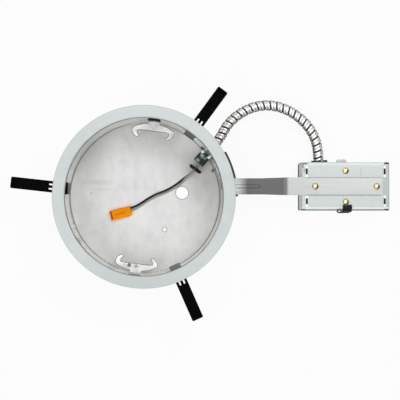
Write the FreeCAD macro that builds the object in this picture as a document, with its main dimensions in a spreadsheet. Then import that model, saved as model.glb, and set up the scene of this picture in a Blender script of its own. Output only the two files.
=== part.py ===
import FreeCAD, Part
import math
import os
import Sketcher
from FreeCAD import Placement, Rotation, Vector

# A remodel downlight housing for an eight inch trim, with its junction box on an arm.
# Millimetres. The origin is the centre of the trim opening, in the plane of the flange's room side.
# +Z points out of the opening, +X from the can to the junction box.
# The housing lies on its closed end, the way it is handed over and drawn here.

document = FreeCAD.newDocument("recessed_light_housing")
sheet = document.addObject("Spreadsheet::Sheet", "Sizes")

# Driving dimensions: alias, value, what it is.
DIMENSIONS = [
    ("opening_radius", 108.0, "inside of the flange's collar, where the trim goes"),
    ("collar_depth", 8.0, "collar below the room side of the flange"),
    ("flange_width", 17.0, "flange, from the collar's inside to its outer edge"),
    ("flange_thickness", 1.0, "flange sheet"),
    ("flange_bend", 2.2, "rounded inner edge of the flange, room side"),
    ("sheet", 0.8, "can wall and closed end sheet"),
    ("nest_gap", 0.15, "between round sheets that nest"),
    ("can_depth", 105.0, "room side of the flange to the outside of the closed end"),
    ("end_skirt", 6.0, "skirt of the closed end, round the foot of the can wall"),
    ("end_bend", 2.3, "outer corner radius of the closed end"),
    ("lamp_hole_radius", 9.0, "large hole in the closed end"),
    ("lamp_hole_x", 54.0, "large hole, from the can's axis"),
    ("lamp_hole_y", 7.0, "large hole, from the can's axis"),
    ("vent_hole_radius", 2.9, "small hole in the closed end"),
    ("vent_hole_x", 28.5, "small hole, from the can's axis"),
    ("vent_hole_y", -46.5, "small hole, from the can's axis"),
    ("window_width", 17.6, "wall windows of the clips and spring brackets"),
    ("window_top", -9.5, "upper edge of the wall windows"),
    ("window_bottom", -45.0, "lower edge of the wall windows"),
    ("clip_angle", 53.7, "first remodel clip, from +X"),
    ("clip_width", 16.0, "width of a remodel clip"),
    ("clip_sheet", 0.9, "spring steel of a remodel clip"),
    ("clip_length", 69.3, "open clip, from its pin to its far end"),
    ("clip_pivot_gap", 5.25, "clip pin, from the outside of the can wall"),
    ("clip_pivot_z", -22.0, "clip pin height"),
    ("clip_heel_reach", 7.0, "heel of an open clip inside the can wall"),
    ("clip_heel_lip", 3.0, "upturned end of the heel"),
    ("clip_slot_width", 2.2, "two slots that leave three prongs"),
    ("clip_slot_start", 3.8, "inner end of the clip slots, from the pin"),
    ("clip_slot_length", 13.0, "clip slots"),
    ("clip_tip", 5.5, "rolled tip of a clip, along the arm"),
    ("knuckle_radius", 2.5, "clip knuckle round its pin"),
    ("pin_radius", 1.2, "clip pin"),
    ("pin_clearance", 0.05, "radial running clearance on pins"),
    ("ear_thickness", 1.0, "clip bracket sheet"),
    ("side_clearance", 0.3, "beside moving pieces"),
    ("bracket_half_angle", 7.8, "half of a clip bracket's arc on the wall"),
    ("bracket_top", -6.0, "upper edge of a clip bracket"),
    ("bracket_bottom", -47.0, "lower edge of a clip bracket"),
    ("heel_window_bottom", -26.5, "lower edge of the heel's way through a clip bracket"),
    ("rivet_radius", 1.2, "small rivets through the can wall"),
    ("rivet_head_radius", 2.4, "small rivet heads"),
    ("rivet_head_height", 0.9, "small rivet heads"),
    ("hole_clearance", 0.05, "radial, round rivet shanks"),
    ("receiver_angle", 82.8, "upper torsion spring receiver, from +X"),
    ("receiver_top", -66.8, "upper face of the receivers' bow"),
    ("receiver_sheet", 1.2, "receiver sheet"),
    ("receiver_tab_width", 17.0, "wall tab of a receiver"),
    ("receiver_front_gap", 14.15, "straight inner edge of the bow, from the can wall"),
    ("receiver_shoulder_gap", 11.65, "where the bow turns into its claws, from the can wall"),
    ("receiver_half_width", 29.5, "half of the bow's width"),
    ("receiver_claw_gap", 24.65, "tip of a claw, from the can wall"),
    ("entry_angle", 47.5, "direction of the conduit entry's axis"),
    ("entry_offset", -23.0, "conduit entry's axis beside the can's axis"),
    ("entry_height", 23.0, "conduit entry, above the foot of the can"),
    ("entry_pad_radius", 14.0, "pressed flat pad round the conduit entry"),
    ("entry_pad_rise", 0.45, "outer face of the pad, from the outside of the can wall"),
    ("conduit_radius", 7.5, "crests of the flexible conduit"),
    ("conduit_valley", 6.7, "valleys of the flexible conduit"),
    ("conduit_pitch", 9.3, "one turn of the conduit's strip"),
    ("conduit_fit", 0.1, "conduit inside its connectors"),
    ("neck_radius", 9.4, "connector necks"),
    ("connector_width", 17.0, "can connector, across and high"),
    ("connector_length", 20.8, "can connector inside the can"),
    ("wire_radius", 1.4, "insulated fixture wire"),
    ("arm_line_y", 15.5, "centre line of the arm and of the box"),
    ("arm_width", 25.4, "arm over the box"),
    ("arm_root_width", 23.0, "arm beside the can"),
    ("arm_sheet", 1.5, "arm and arm bracket sheet"),
    ("arm_root_gap", 3.55, "arm end at the can, from the can wall"),
    ("arm_knee_gap", 34.05, "where the arm starts to rise, from the can wall"),
    ("arm_slope_length", 60.0, "sloped part of the arm"),
    ("arm_end_inset", 11.2, "arm end, from the far end of the box"),
    ("arm_root_drop", 6.0, "arm at the can, below the box top"),
    ("rib_width", 4.2, "pressed rib of the arm"),
    ("rib_height", 1.4, "pressed rib of the arm"),
    ("rib_length", 19.0, "pressed rib, past the knee"),
    ("shelf_width", 22.55, "shelf of the arm bracket, from the can wall"),
    ("shelf_start", 0.5, "arm bracket, first edge, degrees from +X"),
    ("shelf_end", 29.5, "arm bracket, last edge, degrees from +X"),
    ("shelf_rise", 21.0, "arm bracket's leg on the can wall"),
    ("box_gap", 113.65, "can wall to the junction box"),
    ("box_length", 124.2, "junction box"),
    ("box_width", 69.0, "junction box"),
    ("box_height", 50.0, "junction box"),
    ("box_sheet", 1.2, "junction box sheet"),
    ("box_bend", 5.0, "rounded long edges of the junction box"),
    ("slot_inset", 6.4, "latch slots, from the box ends"),
    ("slot_spread", 21.2, "latch slots, from the centre line"),
    ("slot_width", 2.5, "latch slots"),
    ("slot_length", 8.5, "latch slots"),
    ("door_gap", 0.4, "round the box doors"),
    ("hinge_radius", 1.1, "pips that the doors turn on"),
    ("dome_radius", 4.75, "brass dome rivets"),
    ("dome_height", 3.1, "brass dome rivets"),
    ("dome_shank", 2.4, "brass dome rivets"),
    ("dome_near_inset", 18.2, "dome rivet on the arm, from the near end of the box"),
    ("dome_far_inset", 18.0, "dome rivet on the arm, from the far end of the box"),
    ("dome_mid_inset", 61.9, "dome rivets of the clamp and the cord clip, from the near end of the box"),
    ("dome_shift", 1.4, "those rivets, inward from halfway between the edges of the arm and the box"),
    ("box_entry_inset", 26.7, "conduit entry of the box, from its near end"),
    ("box_entry_height", 25.0, "conduit entry of the box, above its lowest face"),
    ("plug_length", 30.7, "plug body"),
    ("plug_width", 14.4, "plug body"),
    ("plug_height", 9.0, "plug body"),
    ("plug_x", -35.2, "plug centre"),
    ("plug_y", -22.6, "plug centre"),
    ("plug_angle", 14.8, "plug axis, from +X"),
]


class Size:
    """A length or angle: its number, and the sheet expression that gives it."""

    def __init__(self, number, text):
        self.number = number
        self.text = text

    def __add__(self, other):
        other = size(other)
        return Size(self.number + other.number, f"({self.text} + {other.text})")

    def __sub__(self, other):
        other = size(other)
        return Size(self.number - other.number, f"({self.text} - {other.text})")

    def __mul__(self, other):
        other = size(other)
        return Size(self.number * other.number, f"({self.text} * {other.text})")

    def __truediv__(self, other):
        other = size(other)
        return Size(self.number / other.number, f"({self.text} / {other.text})")

    def __radd__(self, other):
        return size(other) + self

    def __rsub__(self, other):
        return size(other) - self

    def __rmul__(self, other):
        return size(other) * self

    def __neg__(self):
        return Size(-self.number, f"(0 - {self.text})")


def size(item):
    if isinstance(item, Size):
        return item
    return Size(float(item), f"({float(item)})")


def value(item):
    return size(item).number


for row, (alias, number, note) in enumerate(DIMENSIONS, start=1):
    sheet.set(f"A{row}", alias)
    sheet.set(f"B{row}", str(number))
    sheet.setAlias(f"B{row}", alias)
    sheet.set(f"C{row}", note)
document.recompute()


class Sizes:
    """The sheet's aliases as attributes, each one a Size."""


d = Sizes()
for alias, number, note in DIMENSIONS:
    setattr(d, alias, Size(float(sheet.get(alias)), f"Sizes.{alias}"))

subparts = []


# Sketches and features

def new_body(label):
    body = document.addObject("PartDesign::Body", label)
    body.Label = label
    subparts.append(body)
    return body


def origin_plane(body, role):
    return next(item for item in body.Origin.OriginFeatures if item.Role == role)


def pin_point(drawing, geometry, end, x, y):
    """Ties one point of a sketch to its place from the sheet."""
    for kind, axis, place in (("DistanceX", -2, x), ("DistanceY", -1, y)):
        place = size(place)
        if place.number == 0:
            drawing.addConstraint(Sketcher.Constraint("PointOnObject", geometry, end, axis))
            continue
        index = drawing.addConstraint(Sketcher.Constraint(kind, -1, 1, geometry, end, place.number))
        drawing.setExpression(f"Constraints[{index}]", place.text)


def add_arc(drawing, start, end, radius):
    """An arc from start to end. A positive radius turns left, a negative one right."""
    (x0, y0), (x1, y1) = start, end
    half = math.hypot(x1 - x0, y1 - y0) / 2
    rise = math.sqrt(max(radius * radius - half * half, 0))
    side = 1 if radius > 0 else -1
    centre_x = (x0 + x1) / 2 - side * rise * (y1 - y0) / (2 * half)
    centre_y = (y0 + y1) / 2 + side * rise * (x1 - x0) / (2 * half)
    first, last = (start, end) if radius > 0 else (end, start)
    angles = [math.atan2(y - centre_y, x - centre_x) for x, y in (first, last)]
    circle = Part.Circle(Vector(centre_x, centre_y, 0), Vector(0, 0, 1), abs(radius))
    if angles[1] < angles[0]:
        angles[1] += 2 * math.pi
    return drawing.addGeometry(Part.ArcOfCircle(circle, angles[0], angles[1]), False)


def draw_outline(drawing, corners):
    """A closed outline. A corner is (x, y), or (x, y, radius) where an arc leads to the next one."""
    points = [(value(corner[0]), value(corner[1])) for corner in corners]
    ends = []
    for index, corner in enumerate(corners):
        start, end = points[index], points[(index + 1) % len(points)]
        if len(corner) == 3:
            geometry = add_arc(drawing, start, end, value(corner[2]))
            ends.append((geometry, 1, 2) if value(corner[2]) > 0 else (geometry, 2, 1))
        else:
            line = Part.LineSegment(Vector(*start, 0), Vector(*end, 0))
            ends.append((drawing.addGeometry(line, False), 1, 2))
    for index, (geometry, first, last) in enumerate(ends):
        following = ends[(index + 1) % len(ends)]
        drawing.addConstraint(
            Sketcher.Constraint("Coincident", geometry, last, following[0], following[1]))
    for corner, (geometry, first, last) in zip(corners, ends):
        pin_point(drawing, geometry, first, corner[0], corner[1])
        if len(corner) == 3:
            radius = size(corner[2])
            if radius.number < 0:
                radius = -radius
            index = drawing.addConstraint(Sketcher.Constraint("Radius", geometry, radius.number))
            drawing.setExpression(f"Constraints[{index}]", radius.text)


def draw_circle(drawing, x, y, radius):
    radius = size(radius)
    circle = Part.Circle(Vector(value(x), value(y), 0), Vector(0, 0, 1), radius.number)
    geometry = drawing.addGeometry(circle, False)
    pin_point(drawing, geometry, 3, x, y)
    index = drawing.addConstraint(Sketcher.Constraint("Radius", geometry, radius.number))
    drawing.setExpression(f"Constraints[{index}]", radius.text)


def new_sketch(body, name, role, outlines=(), circles=(), offset=None):
    """A sketch on one of the body's origin planes, offset along the plane's normal."""
    drawing = body.newObject("Sketcher::SketchObject", name)
    drawing.AttachmentSupport = (origin_plane(body, role), [""])
    drawing.MapMode = "FlatFace"
    if offset is not None:
        offset = size(offset)
        drawing.AttachmentOffset = Placement(Vector(0, 0, offset.number), Rotation())
        drawing.setExpression("AttachmentOffset.Base.z", offset.text)
    for corners in outlines:
        draw_outline(drawing, corners)
    for circle in circles:
        draw_circle(drawing, *circle)
    return drawing


def rectangle(x0, x1, y0, y1, radius=None):
    """Corners of a rectangle, counter-clockwise, with quarter rounds where a radius is given."""
    if radius is None:
        return [(x0, y0), (x1, y0), (x1, y1), (x0, y1)]
    return [
        (x0 + radius, y0), (x1 - radius, y0, radius),
        (x1, y0 + radius), (x1, y1 - radius, radius),
        (x1 - radius, y1), (x0 + radius, y1, radius),
        (x0, y1 - radius), (x0, y0 + radius, radius),
    ]


def add_extrusion(body, kind, name, drawing, length, symmetric=False, backwards=False):
    """A Pad or a Pocket of a sketch."""
    feature = body.newObject(f"PartDesign::{kind}", name)
    feature.Profile = drawing
    length = size(length)
    feature.Length = length.number
    feature.setExpression("Length", length.text)
    if symmetric:
        feature.SideType = "Symmetric"
    feature.Reversed = backwards
    body.Tip = feature
    document.recompute()
    return feature


def add_turn(body, kind, name, drawing, angle=360, middle=False):
    """A Revolution or a Groove of a sketch about its vertical axis."""
    feature = body.newObject(f"PartDesign::{kind}", name)
    feature.Profile = drawing
    feature.ReferenceAxis = (drawing, ["V_Axis"])
    angle = size(angle)
    feature.Angle = angle.number
    feature.setExpression("Angle", angle.text)
    feature.Midplane = middle
    body.Tip = feature
    document.recompute()
    return feature


def add_rounding(body, name, radius, wanted):
    """Rounds the edges of the body's last feature for which wanted(edge) holds."""
    base = body.Tip
    names = [f"Edge{index}" for index, edge in enumerate(base.Shape.Edges, start=1) if wanted(edge)]
    feature = body.newObject("PartDesign::Fillet", name)
    feature.Base = (base, names)
    radius = size(radius)
    feature.Radius = radius.number
    feature.setExpression("Radius", radius.text)
    body.Tip = feature
    document.recompute()
    return feature


def put(item, x=0, y=0, z=0, turn=None):
    """Places a sub-part, turned about the vertical by an angle in degrees."""
    places = [size(place) for place in (x, y, z)]
    turn = size(turn or 0)
    position = Vector(*[place.number for place in places])
    item.Placement = Placement(position, Rotation(Vector(0, 0, 1), turn.number))
    for letter, place in zip("xyz", places):
        item.setExpression(f"Placement.Base.{letter}", place.text)
    if turn.number:
        item.setExpression("Placement.Rotation.Angle", turn.text)


def upright(edge):
    """True for a straight edge along the vertical."""
    return is_along(edge, Vector(0, 0, 1))


def is_along(edge, direction):
    if edge.Curve.TypeId != "Part::GeomLine":
        return False
    return abs(edge.tangentAt(edge.FirstParameter).dot(direction)) > 0.999


def new_solid(label, shape):
    """A sub-part, or a group of like fasteners, whose shape is worked out here from the sheet."""
    item = document.addObject("Part::Feature", label)
    item.Label = label
    item.Shape = shape
    subparts.append(item)
    return item


def polar(radius, degrees, z=0.0):
    angle = math.radians(degrees)
    return Vector(radius * math.cos(angle), radius * math.sin(angle), z)


def laid(shape, origin, direction):
    """A copy of a shape made along +Z, moved to origin and turned to direction."""
    copy = shape.copy()
    copy.Placement = Placement(origin, Rotation(Vector(0, 0, 1), direction))
    return copy


def rivet(shank_radius, grip, head_radius, head_height, gap, tail_radius, tail_height):
    """A set rivet along +Z. Its domed head stands on the plane z = 0 and its tail is under the grip."""
    crown = (head_radius ** 2 + head_height ** 2) / (2 * head_height)
    middle = crown * math.sin(math.asin(head_radius / crown) / 2)
    middle_height = gap + head_height - (crown - math.sqrt(crown ** 2 - middle ** 2))
    corners = [
        Vector(0, 0, -grip - gap - tail_height),
        Vector(tail_radius * 0.8, 0, -grip - gap - tail_height),
        Vector(tail_radius, 0, -grip - gap - tail_height * 0.6),
        Vector(tail_radius, 0, -grip - gap),
        Vector(shank_radius, 0, -grip - gap),
        Vector(shank_radius, 0, gap),
        Vector(head_radius, 0, gap),
    ]
    top = Vector(0, 0, gap + head_height)
    edges = [Part.LineSegment(a, b).toShape() for a, b in zip(corners, corners[1:])]
    edges.append(Part.Arc(corners[-1], Vector(middle, 0, middle_height), top).toShape())
    edges.append(Part.LineSegment(top, corners[0]).toShape())
    face = Part.Face(Part.Wire(edges))
    return face.revolve(Vector(), Vector(0, 0, 1), 360)


# Round sheets that nest: the collar, the can wall outside it, brackets and closed end outside the wall

collar_outer = d.opening_radius + d.flange_thickness
wall_inner = collar_outer + d.nest_gap
wall_outer = wall_inner + d.sheet
bracket_inner = wall_outer + d.nest_gap
end_outer = wall_outer + d.nest_gap + d.sheet
floor_inside = d.sheet - d.can_depth
flange_radius = d.opening_radius + d.flange_width

# What stands on the can wall, what hangs inside it, and the box beside it

clip_pivot = wall_outer + d.clip_pivot_gap
clip_reach = clip_pivot + d.clip_length
receiver_front = wall_inner - d.receiver_front_gap
receiver_shoulder = wall_inner - d.receiver_shoulder_gap
receiver_claw = wall_inner - d.receiver_claw_gap
entry_z = d.entry_height - d.can_depth
entry_pad_face = wall_outer + d.entry_pad_rise
arm_root_x = wall_outer + d.arm_root_gap
arm_knee_x = wall_outer + d.arm_knee_gap
arm_shoulder_x = arm_knee_x + d.arm_slope_length
rib_end_x = arm_knee_x + d.rib_length
shelf_radius = wall_outer + d.shelf_width
box_start_x = wall_outer + d.box_gap
box_end_x = box_start_x + d.box_length
arm_end_x = box_end_x - d.arm_end_inset
dome_near_x = box_start_x + d.dome_near_inset
dome_far_x = box_end_x - d.dome_far_inset
dome_mid_x = box_start_x + d.dome_mid_inset
box_entry_x = box_start_x + d.box_entry_inset
box_entry_z = d.box_entry_height - d.can_depth


def make_flange_ring():
    body = new_body("flange_ring")
    inner_bend = d.flange_bend - d.flange_thickness
    bend_start = d.opening_radius + d.flange_bend
    profile = [
        (d.opening_radius, -d.collar_depth),
        (collar_outer, -d.collar_depth),
        (collar_outer, -d.flange_bend, -inner_bend),
        (bend_start, -d.flange_thickness),
        (flange_radius, -d.flange_thickness),
        (flange_radius, 0),
        (bend_start, 0, d.flange_bend),
        (d.opening_radius, -d.flange_bend),
    ]
    drawing = new_sketch(body, "flange_profile", "XZ_Plane", [profile])
    add_turn(body, "Revolution", "flange_turned", drawing)


def make_can_wall():
    """The wall is drawn with the conduit entry along its own +X."""
    body = new_body("can_wall")
    bottom = floor_inside + (d.end_bend - d.sheet) + 0.1
    profile = rectangle(wall_inner, wall_outer, bottom, -d.flange_bend)
    add_turn(body, "Revolution", "wall_rolled", new_sketch(body, "wall_profile", "XZ_Plane", [profile]))

    pad = new_sketch(body, "entry_pad_outline", "YZ_Plane",
                     circles=[(d.entry_offset, entry_z, d.entry_pad_radius)],
                     offset=entry_pad_face)
    add_extrusion(body, "Pad", "entry_pad", pad, 14.0, backwards=True)
    hollow = new_sketch(body, "entry_hollow_outline", "YZ_Plane",
                        circles=[(d.entry_offset, entry_z, d.entry_pad_radius - d.sheet)],
                        offset=entry_pad_face - d.sheet)
    add_extrusion(body, "Pocket", "entry_hollow", hollow, 20.0)
    inside = new_sketch(body, "inside_profile", "XZ_Plane",
                        [rectangle(0.5 * d.opening_radius, wall_inner,
                                   entry_z - d.entry_pad_radius - 1.0,
                                   entry_z + d.entry_pad_radius + 1.0)])
    add_turn(body, "Groove", "inside_cleared", inside)
    hole = new_sketch(body, "entry_hole_outline", "YZ_Plane",
                      circles=[(d.entry_offset, entry_z, d.neck_radius + 2 * d.hole_clearance)],
                      offset=entry_pad_face + 1.0)
    add_extrusion(body, "Pocket", "entry_hole", hole, 4.0)

    half = d.window_width / 2
    openings = [(d.clip_angle + 120.0 * turn, half, d.window_bottom, d.window_top) for turn in range(3)]
    openings += [(d.receiver_angle + 180.0 * turn, half, d.window_bottom, d.window_top)
                 for turn in range(2)]
    openings += [
        (size(20.4), size(3.75), size(-76.0), size(-52.0)),
        (size(8.3), size(3.65), size(-60.0), size(-41.0)),
        (size(200.6), size(4.4), 10.0 - d.can_depth, 23.0 - d.can_depth),
        (size(213.0), size(6.5), size(-30.0), size(-16.0)),
    ]
    for index, (angle, half_width, low, high) in enumerate(openings):
        drawing = new_sketch(body, f"window_{index}", "YZ_Plane",
                             [rectangle(-half_width, half_width, low, high, size(0.8))],
                             offset=wall_outer + 2.0)
        spin_sketch(drawing, angle - d.entry_angle, wall_outer + 2.0)
        add_extrusion(body, "Pocket", f"window_cut_{index}", drawing, 6.0)
    for index, (angle, z) in enumerate(wall_rivets()):
        drawing = new_sketch(body, f"rivet_hole_outline_{index}", "YZ_Plane",
                             circles=[(0, z, d.rivet_radius + d.hole_clearance)])
        spin_sketch(drawing, angle - d.entry_angle, wall_outer + 2.0)
        add_extrusion(body, "Pocket", f"rivet_hole_{index}", drawing, 6.0)
    put(body, turn=d.entry_angle)


def spin_sketch(drawing, angle, distance):
    """Turns a sketch of the YZ plane about the vertical, and moves it out along its normal."""
    angle, distance = size(angle), size(distance)
    turned = Rotation(Vector(0, 1, 0), angle.number)
    drawing.AttachmentOffset = Placement(turned.multVec(Vector(0, 0, distance.number)), turned)
    drawing.setExpression("AttachmentOffset.Base.x", f"{distance.text} * sin({angle.text})")
    drawing.setExpression("AttachmentOffset.Base.z", f"{distance.text} * cos({angle.text})")
    drawing.setExpression("AttachmentOffset.Rotation.Angle", angle.text)


clip_rivet_angle = d.bracket_half_angle - 1.6
receiver_rivet_z = [-52.5, -60.5]
shelf_z = -(d.can_depth - d.box_height + d.arm_root_drop + d.arm_sheet)
shelf_rivet_angles = [3.5, 14.3, 25.0]


def wall_rivets():
    """Angle and height of every small rivet through the can wall."""
    places = []
    for turn in range(3):
        for side in (-1.0, 1.0):
            places.append((d.clip_angle + 120.0 * turn + side * clip_rivet_angle, d.window_bottom + 5.0))
    for turn in range(2):
        for z in receiver_rivet_z:
            places.append((d.receiver_angle + 180.0 * turn, size(z)))
    for angle in shelf_rivet_angles:
        places.append((size(angle), shelf_z + 0.72 * d.shelf_rise))
    return places


def make_closed_end():
    body = new_body("closed_end")
    inner_bend = d.end_bend - d.sheet
    skirt_top = d.end_skirt - d.can_depth
    profile = [
        (0, -d.can_depth),
        (end_outer - d.end_bend, -d.can_depth, d.end_bend),
        (end_outer, d.end_bend - d.can_depth),
        (end_outer, skirt_top),
        (end_outer - d.sheet, skirt_top),
        (end_outer - d.sheet, d.end_bend - d.can_depth, -inner_bend),
        (end_outer - d.end_bend, floor_inside),
        (0, floor_inside),
    ]
    add_turn(body, "Revolution", "end_pressed", new_sketch(body, "end_profile", "XZ_Plane", [profile]))
    holes = new_sketch(body, "end_holes", "XY_Plane",
                       circles=[(d.lamp_hole_x, d.lamp_hole_y, d.lamp_hole_radius),
                                (d.vent_hole_x, d.vent_hole_y, d.vent_hole_radius)],
                       offset=1.0 - d.can_depth + d.sheet)
    add_extrusion(body, "Pocket", "end_holes_cut", holes, 4.0)


# Torsion spring receivers: a bow with two claws, on a tab riveted to the wall

def make_receiver(label, angle, tab_top, screw_hole):
    """Drawn with the wall on its own +X. The bow lies level and the tab stands against the wall."""
    body = new_body(label)
    claw_width = d.receiver_half_width - 8.5
    claw_inner = claw_width - 2.6
    outline = [
        (receiver_shoulder, -d.receiver_half_width, 58.5),
        (receiver_shoulder, d.receiver_half_width, 10.0),
        (receiver_claw, claw_width),
        (receiver_claw + 2.1, claw_inner, -6.5),
        (receiver_front - 0.6, claw_inner + 4.2),
        (receiver_front, claw_inner - 1.9),
        (receiver_front, 1.9 - claw_inner),
        (receiver_front - 0.6, -claw_inner - 4.2, -6.5),
        (receiver_claw + 2.1, -claw_inner),
        (receiver_claw, -claw_width, 10.0),
    ]
    bow = new_sketch(body, "bow_outline", "XY_Plane", [outline], offset=d.receiver_top)
    add_extrusion(body, "Pad", "bow", bow, d.receiver_sheet, backwards=True)

    tab_outer = wall_inner - d.nest_gap
    tab_inner = tab_outer - d.receiver_sheet
    bend = 2.0 * d.receiver_sheet
    low = d.receiver_top - d.receiver_sheet
    half = d.receiver_tab_width / 2
    tab = [
        (receiver_front + 4.0, low),
        (tab_outer - bend, low, bend),
        (tab_outer, low + bend),
        (tab_outer, tab_top),
        (tab_inner, tab_top),
        (tab_inner, low + bend, d.receiver_sheet - bend),
        (tab_outer - bend, d.receiver_top),
        (receiver_front + 4.0, d.receiver_top),
    ]
    spread = Size(2 * math.degrees(math.asin(half.number / tab_outer.number)),
                  f"(2 * asin({half.text} / {tab_outer.text}))")
    drawing = new_sketch(body, "tab_profile", "XZ_Plane", [tab])
    add_turn(body, "Revolution", "tab", drawing, spread, middle=True)

    holes = new_sketch(body, "rivet_holes", "YZ_Plane", circles=[
        (0, z, d.rivet_radius + d.hole_clearance) for z in receiver_rivet_z], offset=tab_inner - 2.0)
    add_extrusion(body, "Pocket", "rivet_holes_cut", holes, 6.0, backwards=True)
    if screw_hole:
        drawing = new_sketch(body, "bow_holes", "XY_Plane", circles=[
            (receiver_front + 3.4, 0, 1.9),
            (receiver_front + 2.9, -9.8, 1.5)], offset=d.receiver_top + 1.0)
        add_extrusion(body, "Pocket", "bow_holes_cut", drawing, 4.0)
    put(body, turn=angle)


# Remodel clips: a spring steel arm on a pin, with a heel that reaches into the can

def make_clip(label, angle):
    """Drawn open, with its arm along its own +X and its pin along Y."""
    body = new_body(label)
    half = d.clip_sheet / 2
    heel = wall_inner - d.clip_heel_reach
    mid = d.clip_pivot_z
    tip = clip_reach - d.clip_tip
    profile = [
        (heel, mid - half),
        (clip_reach - 1.4, mid - half, 1.4),
        (clip_reach, mid - half + 1.4),
        (clip_reach - 1.4, mid - half + 2.8),
        (tip, mid - half + 2.2),
        (tip, mid + half),
        (heel + d.clip_sheet, mid + half),
        (heel + d.clip_sheet, mid - half + d.clip_heel_lip),
        (heel, mid - half + d.clip_heel_lip),
    ]
    arm = new_sketch(body, "arm_profile", "XZ_Plane", [profile])
    add_extrusion(body, "Pad", "arm", arm, d.clip_width, symmetric=True)
    knuckle = new_sketch(body, "knuckle_profile", "XZ_Plane",
                         circles=[(clip_pivot, mid, d.knuckle_radius)])
    add_extrusion(body, "Pad", "knuckle", knuckle, d.clip_width, symmetric=True)
    bore = new_sketch(body, "bore_profile", "XZ_Plane",
                      circles=[(clip_pivot, mid, d.pin_radius + d.pin_clearance)])
    add_extrusion(body, "Pocket", "bore", bore, d.clip_width + 2.0, symmetric=True)

    prong = (d.clip_width - 2 * d.clip_slot_width) / 6
    slot_start = clip_pivot + d.clip_slot_start
    slots = [rectangle(slot_start, slot_start + d.clip_slot_length, side_low,
                       side_low + d.clip_slot_width, d.clip_slot_width * 0.45)
             for side_low in (prong, -prong - d.clip_slot_width)]
    drawing = new_sketch(body, "slot_outlines", "XY_Plane", slots, offset=mid + 4.0)
    add_extrusion(body, "Pocket", "slots", drawing, 8.0)
    ribs = [rectangle(tip + 1.1 * step, tip + 1.1 * step + 0.5, mid + 1.0, mid + 2.6)
            for step in (0.6, 1.6, 2.6)]
    drawing = new_sketch(body, "grip_profile", "XZ_Plane", ribs)
    add_extrusion(body, "Pocket", "grip", drawing, d.clip_width - 2.0, symmetric=True)
    corner, side = size(2.0), d.clip_width / 2
    corners = [
        [(clip_reach - corner, side, -corner), (clip_reach, side - corner),
         (clip_reach + 1.0, side - corner), (clip_reach + 1.0, side + 1.0),
         (clip_reach - corner, side + 1.0)],
        [(clip_reach - corner, -side, corner), (clip_reach, corner - side),
         (clip_reach + 1.0, corner - side), (clip_reach + 1.0, -side - 1.0),
         (clip_reach - corner, -side - 1.0)],
    ]
    drawing = new_sketch(body, "tip_corner_outlines", "XY_Plane", corners, offset=mid + 4.0)
    add_extrusion(body, "Pocket", "tip_corners", drawing, 8.0)
    put(body, turn=angle)


def make_clip_bracket(label, angle):
    """A plate curved to the wall, with two ears that hold the clip's pin."""
    body = new_body(label)
    profile = rectangle(bracket_inner, bracket_inner + d.ear_thickness, d.bracket_bottom, d.bracket_top)
    plate = new_sketch(body, "plate_profile", "XZ_Plane", [profile])
    add_turn(body, "Revolution", "plate", plate, 2 * d.bracket_half_angle, middle=True)
    inner_side = d.clip_width / 2 + d.side_clearance
    outer_side = inner_side + d.ear_thickness
    ear_root = bracket_inner + 0.15
    ear_reach = clip_pivot + 3.0
    for side in (1, -1):
        sides = (inner_side, outer_side) if side > 0 else (-outer_side, -inner_side)
        drawing = new_sketch(body, f"ear_outline_{side + 1}", "XY_Plane",
                             [rectangle(ear_root, ear_reach, *sides)], offset=d.clip_pivot_z)
        add_extrusion(body, "Pad", f"ear_{side + 1}", drawing, 7.6, symmetric=True)
    add_rounding(body, "ear_rounding", 3.0, lambda edge: is_along(edge, Vector(0, 1, 0))
                 and edge.CenterOfMass.x > ear_reach.number - 0.1)
    window = new_sketch(body, "heel_window", "YZ_Plane",
                        [rectangle(-inner_side, inner_side, d.heel_window_bottom, d.window_top)],
                        offset=bracket_inner - 2.0)
    add_extrusion(body, "Pocket", "heel_window_cut", window, 2.0 + d.ear_thickness + 0.4, backwards=True)
    bore = new_sketch(body, "pin_holes", "XZ_Plane",
                      circles=[(clip_pivot, d.clip_pivot_z, d.pin_radius)])
    add_extrusion(body, "Pocket", "pin_holes_cut", bore, 4 * d.clip_width, symmetric=True)
    for index, side in enumerate((1, -1)):
        hole = new_sketch(body, f"rivet_outline_{index}", "YZ_Plane", circles=[
            (0, d.window_bottom + 5.0, d.rivet_radius + d.hole_clearance)])
        spin_sketch(hole, side * clip_rivet_angle, wall_outer + 4.0)
        add_extrusion(body, "Pocket", f"rivet_hole_{index}", hole, 6.0)
    put(body, turn=angle)


def make_clip_pin(label, angle):
    body = new_body(label)
    drawing = new_sketch(body, "pin_profile", "XZ_Plane",
                         circles=[(clip_pivot, d.clip_pivot_z, d.pin_radius)])
    length = d.clip_width + 2 * (d.side_clearance + d.ear_thickness) + 1.0
    add_extrusion(body, "Pad", "pin", drawing, length, symmetric=True)
    put(body, turn=angle)


def make_wall_rivets():
    """Small rivets through the can wall, grouped by what they hold."""
    places = wall_rivets()
    shank, head, height = (value(item) for item in (d.rivet_radius, d.rivet_head_radius,
                                                    d.rivet_head_height))
    grips = {
        "clip_rivets": (places[:6], wall_inner, bracket_inner + d.ear_thickness),
        "receiver_rivets": (places[6:10], wall_inner - d.nest_gap - d.receiver_sheet, wall_outer),
        "arm_bracket_rivets": (places[10:], wall_inner, bracket_inner + d.arm_sheet),
    }
    for label, (spots, inside, outside) in grips.items():
        grip = value(outside - inside)
        solid = rivet(shank, grip, head, height, 0.05, 1.5 * shank, 0.7)
        copies = [laid(solid, polar(value(outside), value(angle), value(z)), polar(1.0, value(angle)))
                  for angle, z in spots]
        new_solid(label, Part.makeCompound(copies))


# The arm: an arc-shaped bracket on the wall, and the ribbed strap that carries the box

box_top_z = d.box_height - d.can_depth
arm_root_z = box_top_z - d.arm_root_drop
arm_rivet_x = arm_root_x + 7.0
arm_rivet_spread = 0.26 * d.arm_root_width
arm_shank = d.rivet_radius + 0.3


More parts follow.
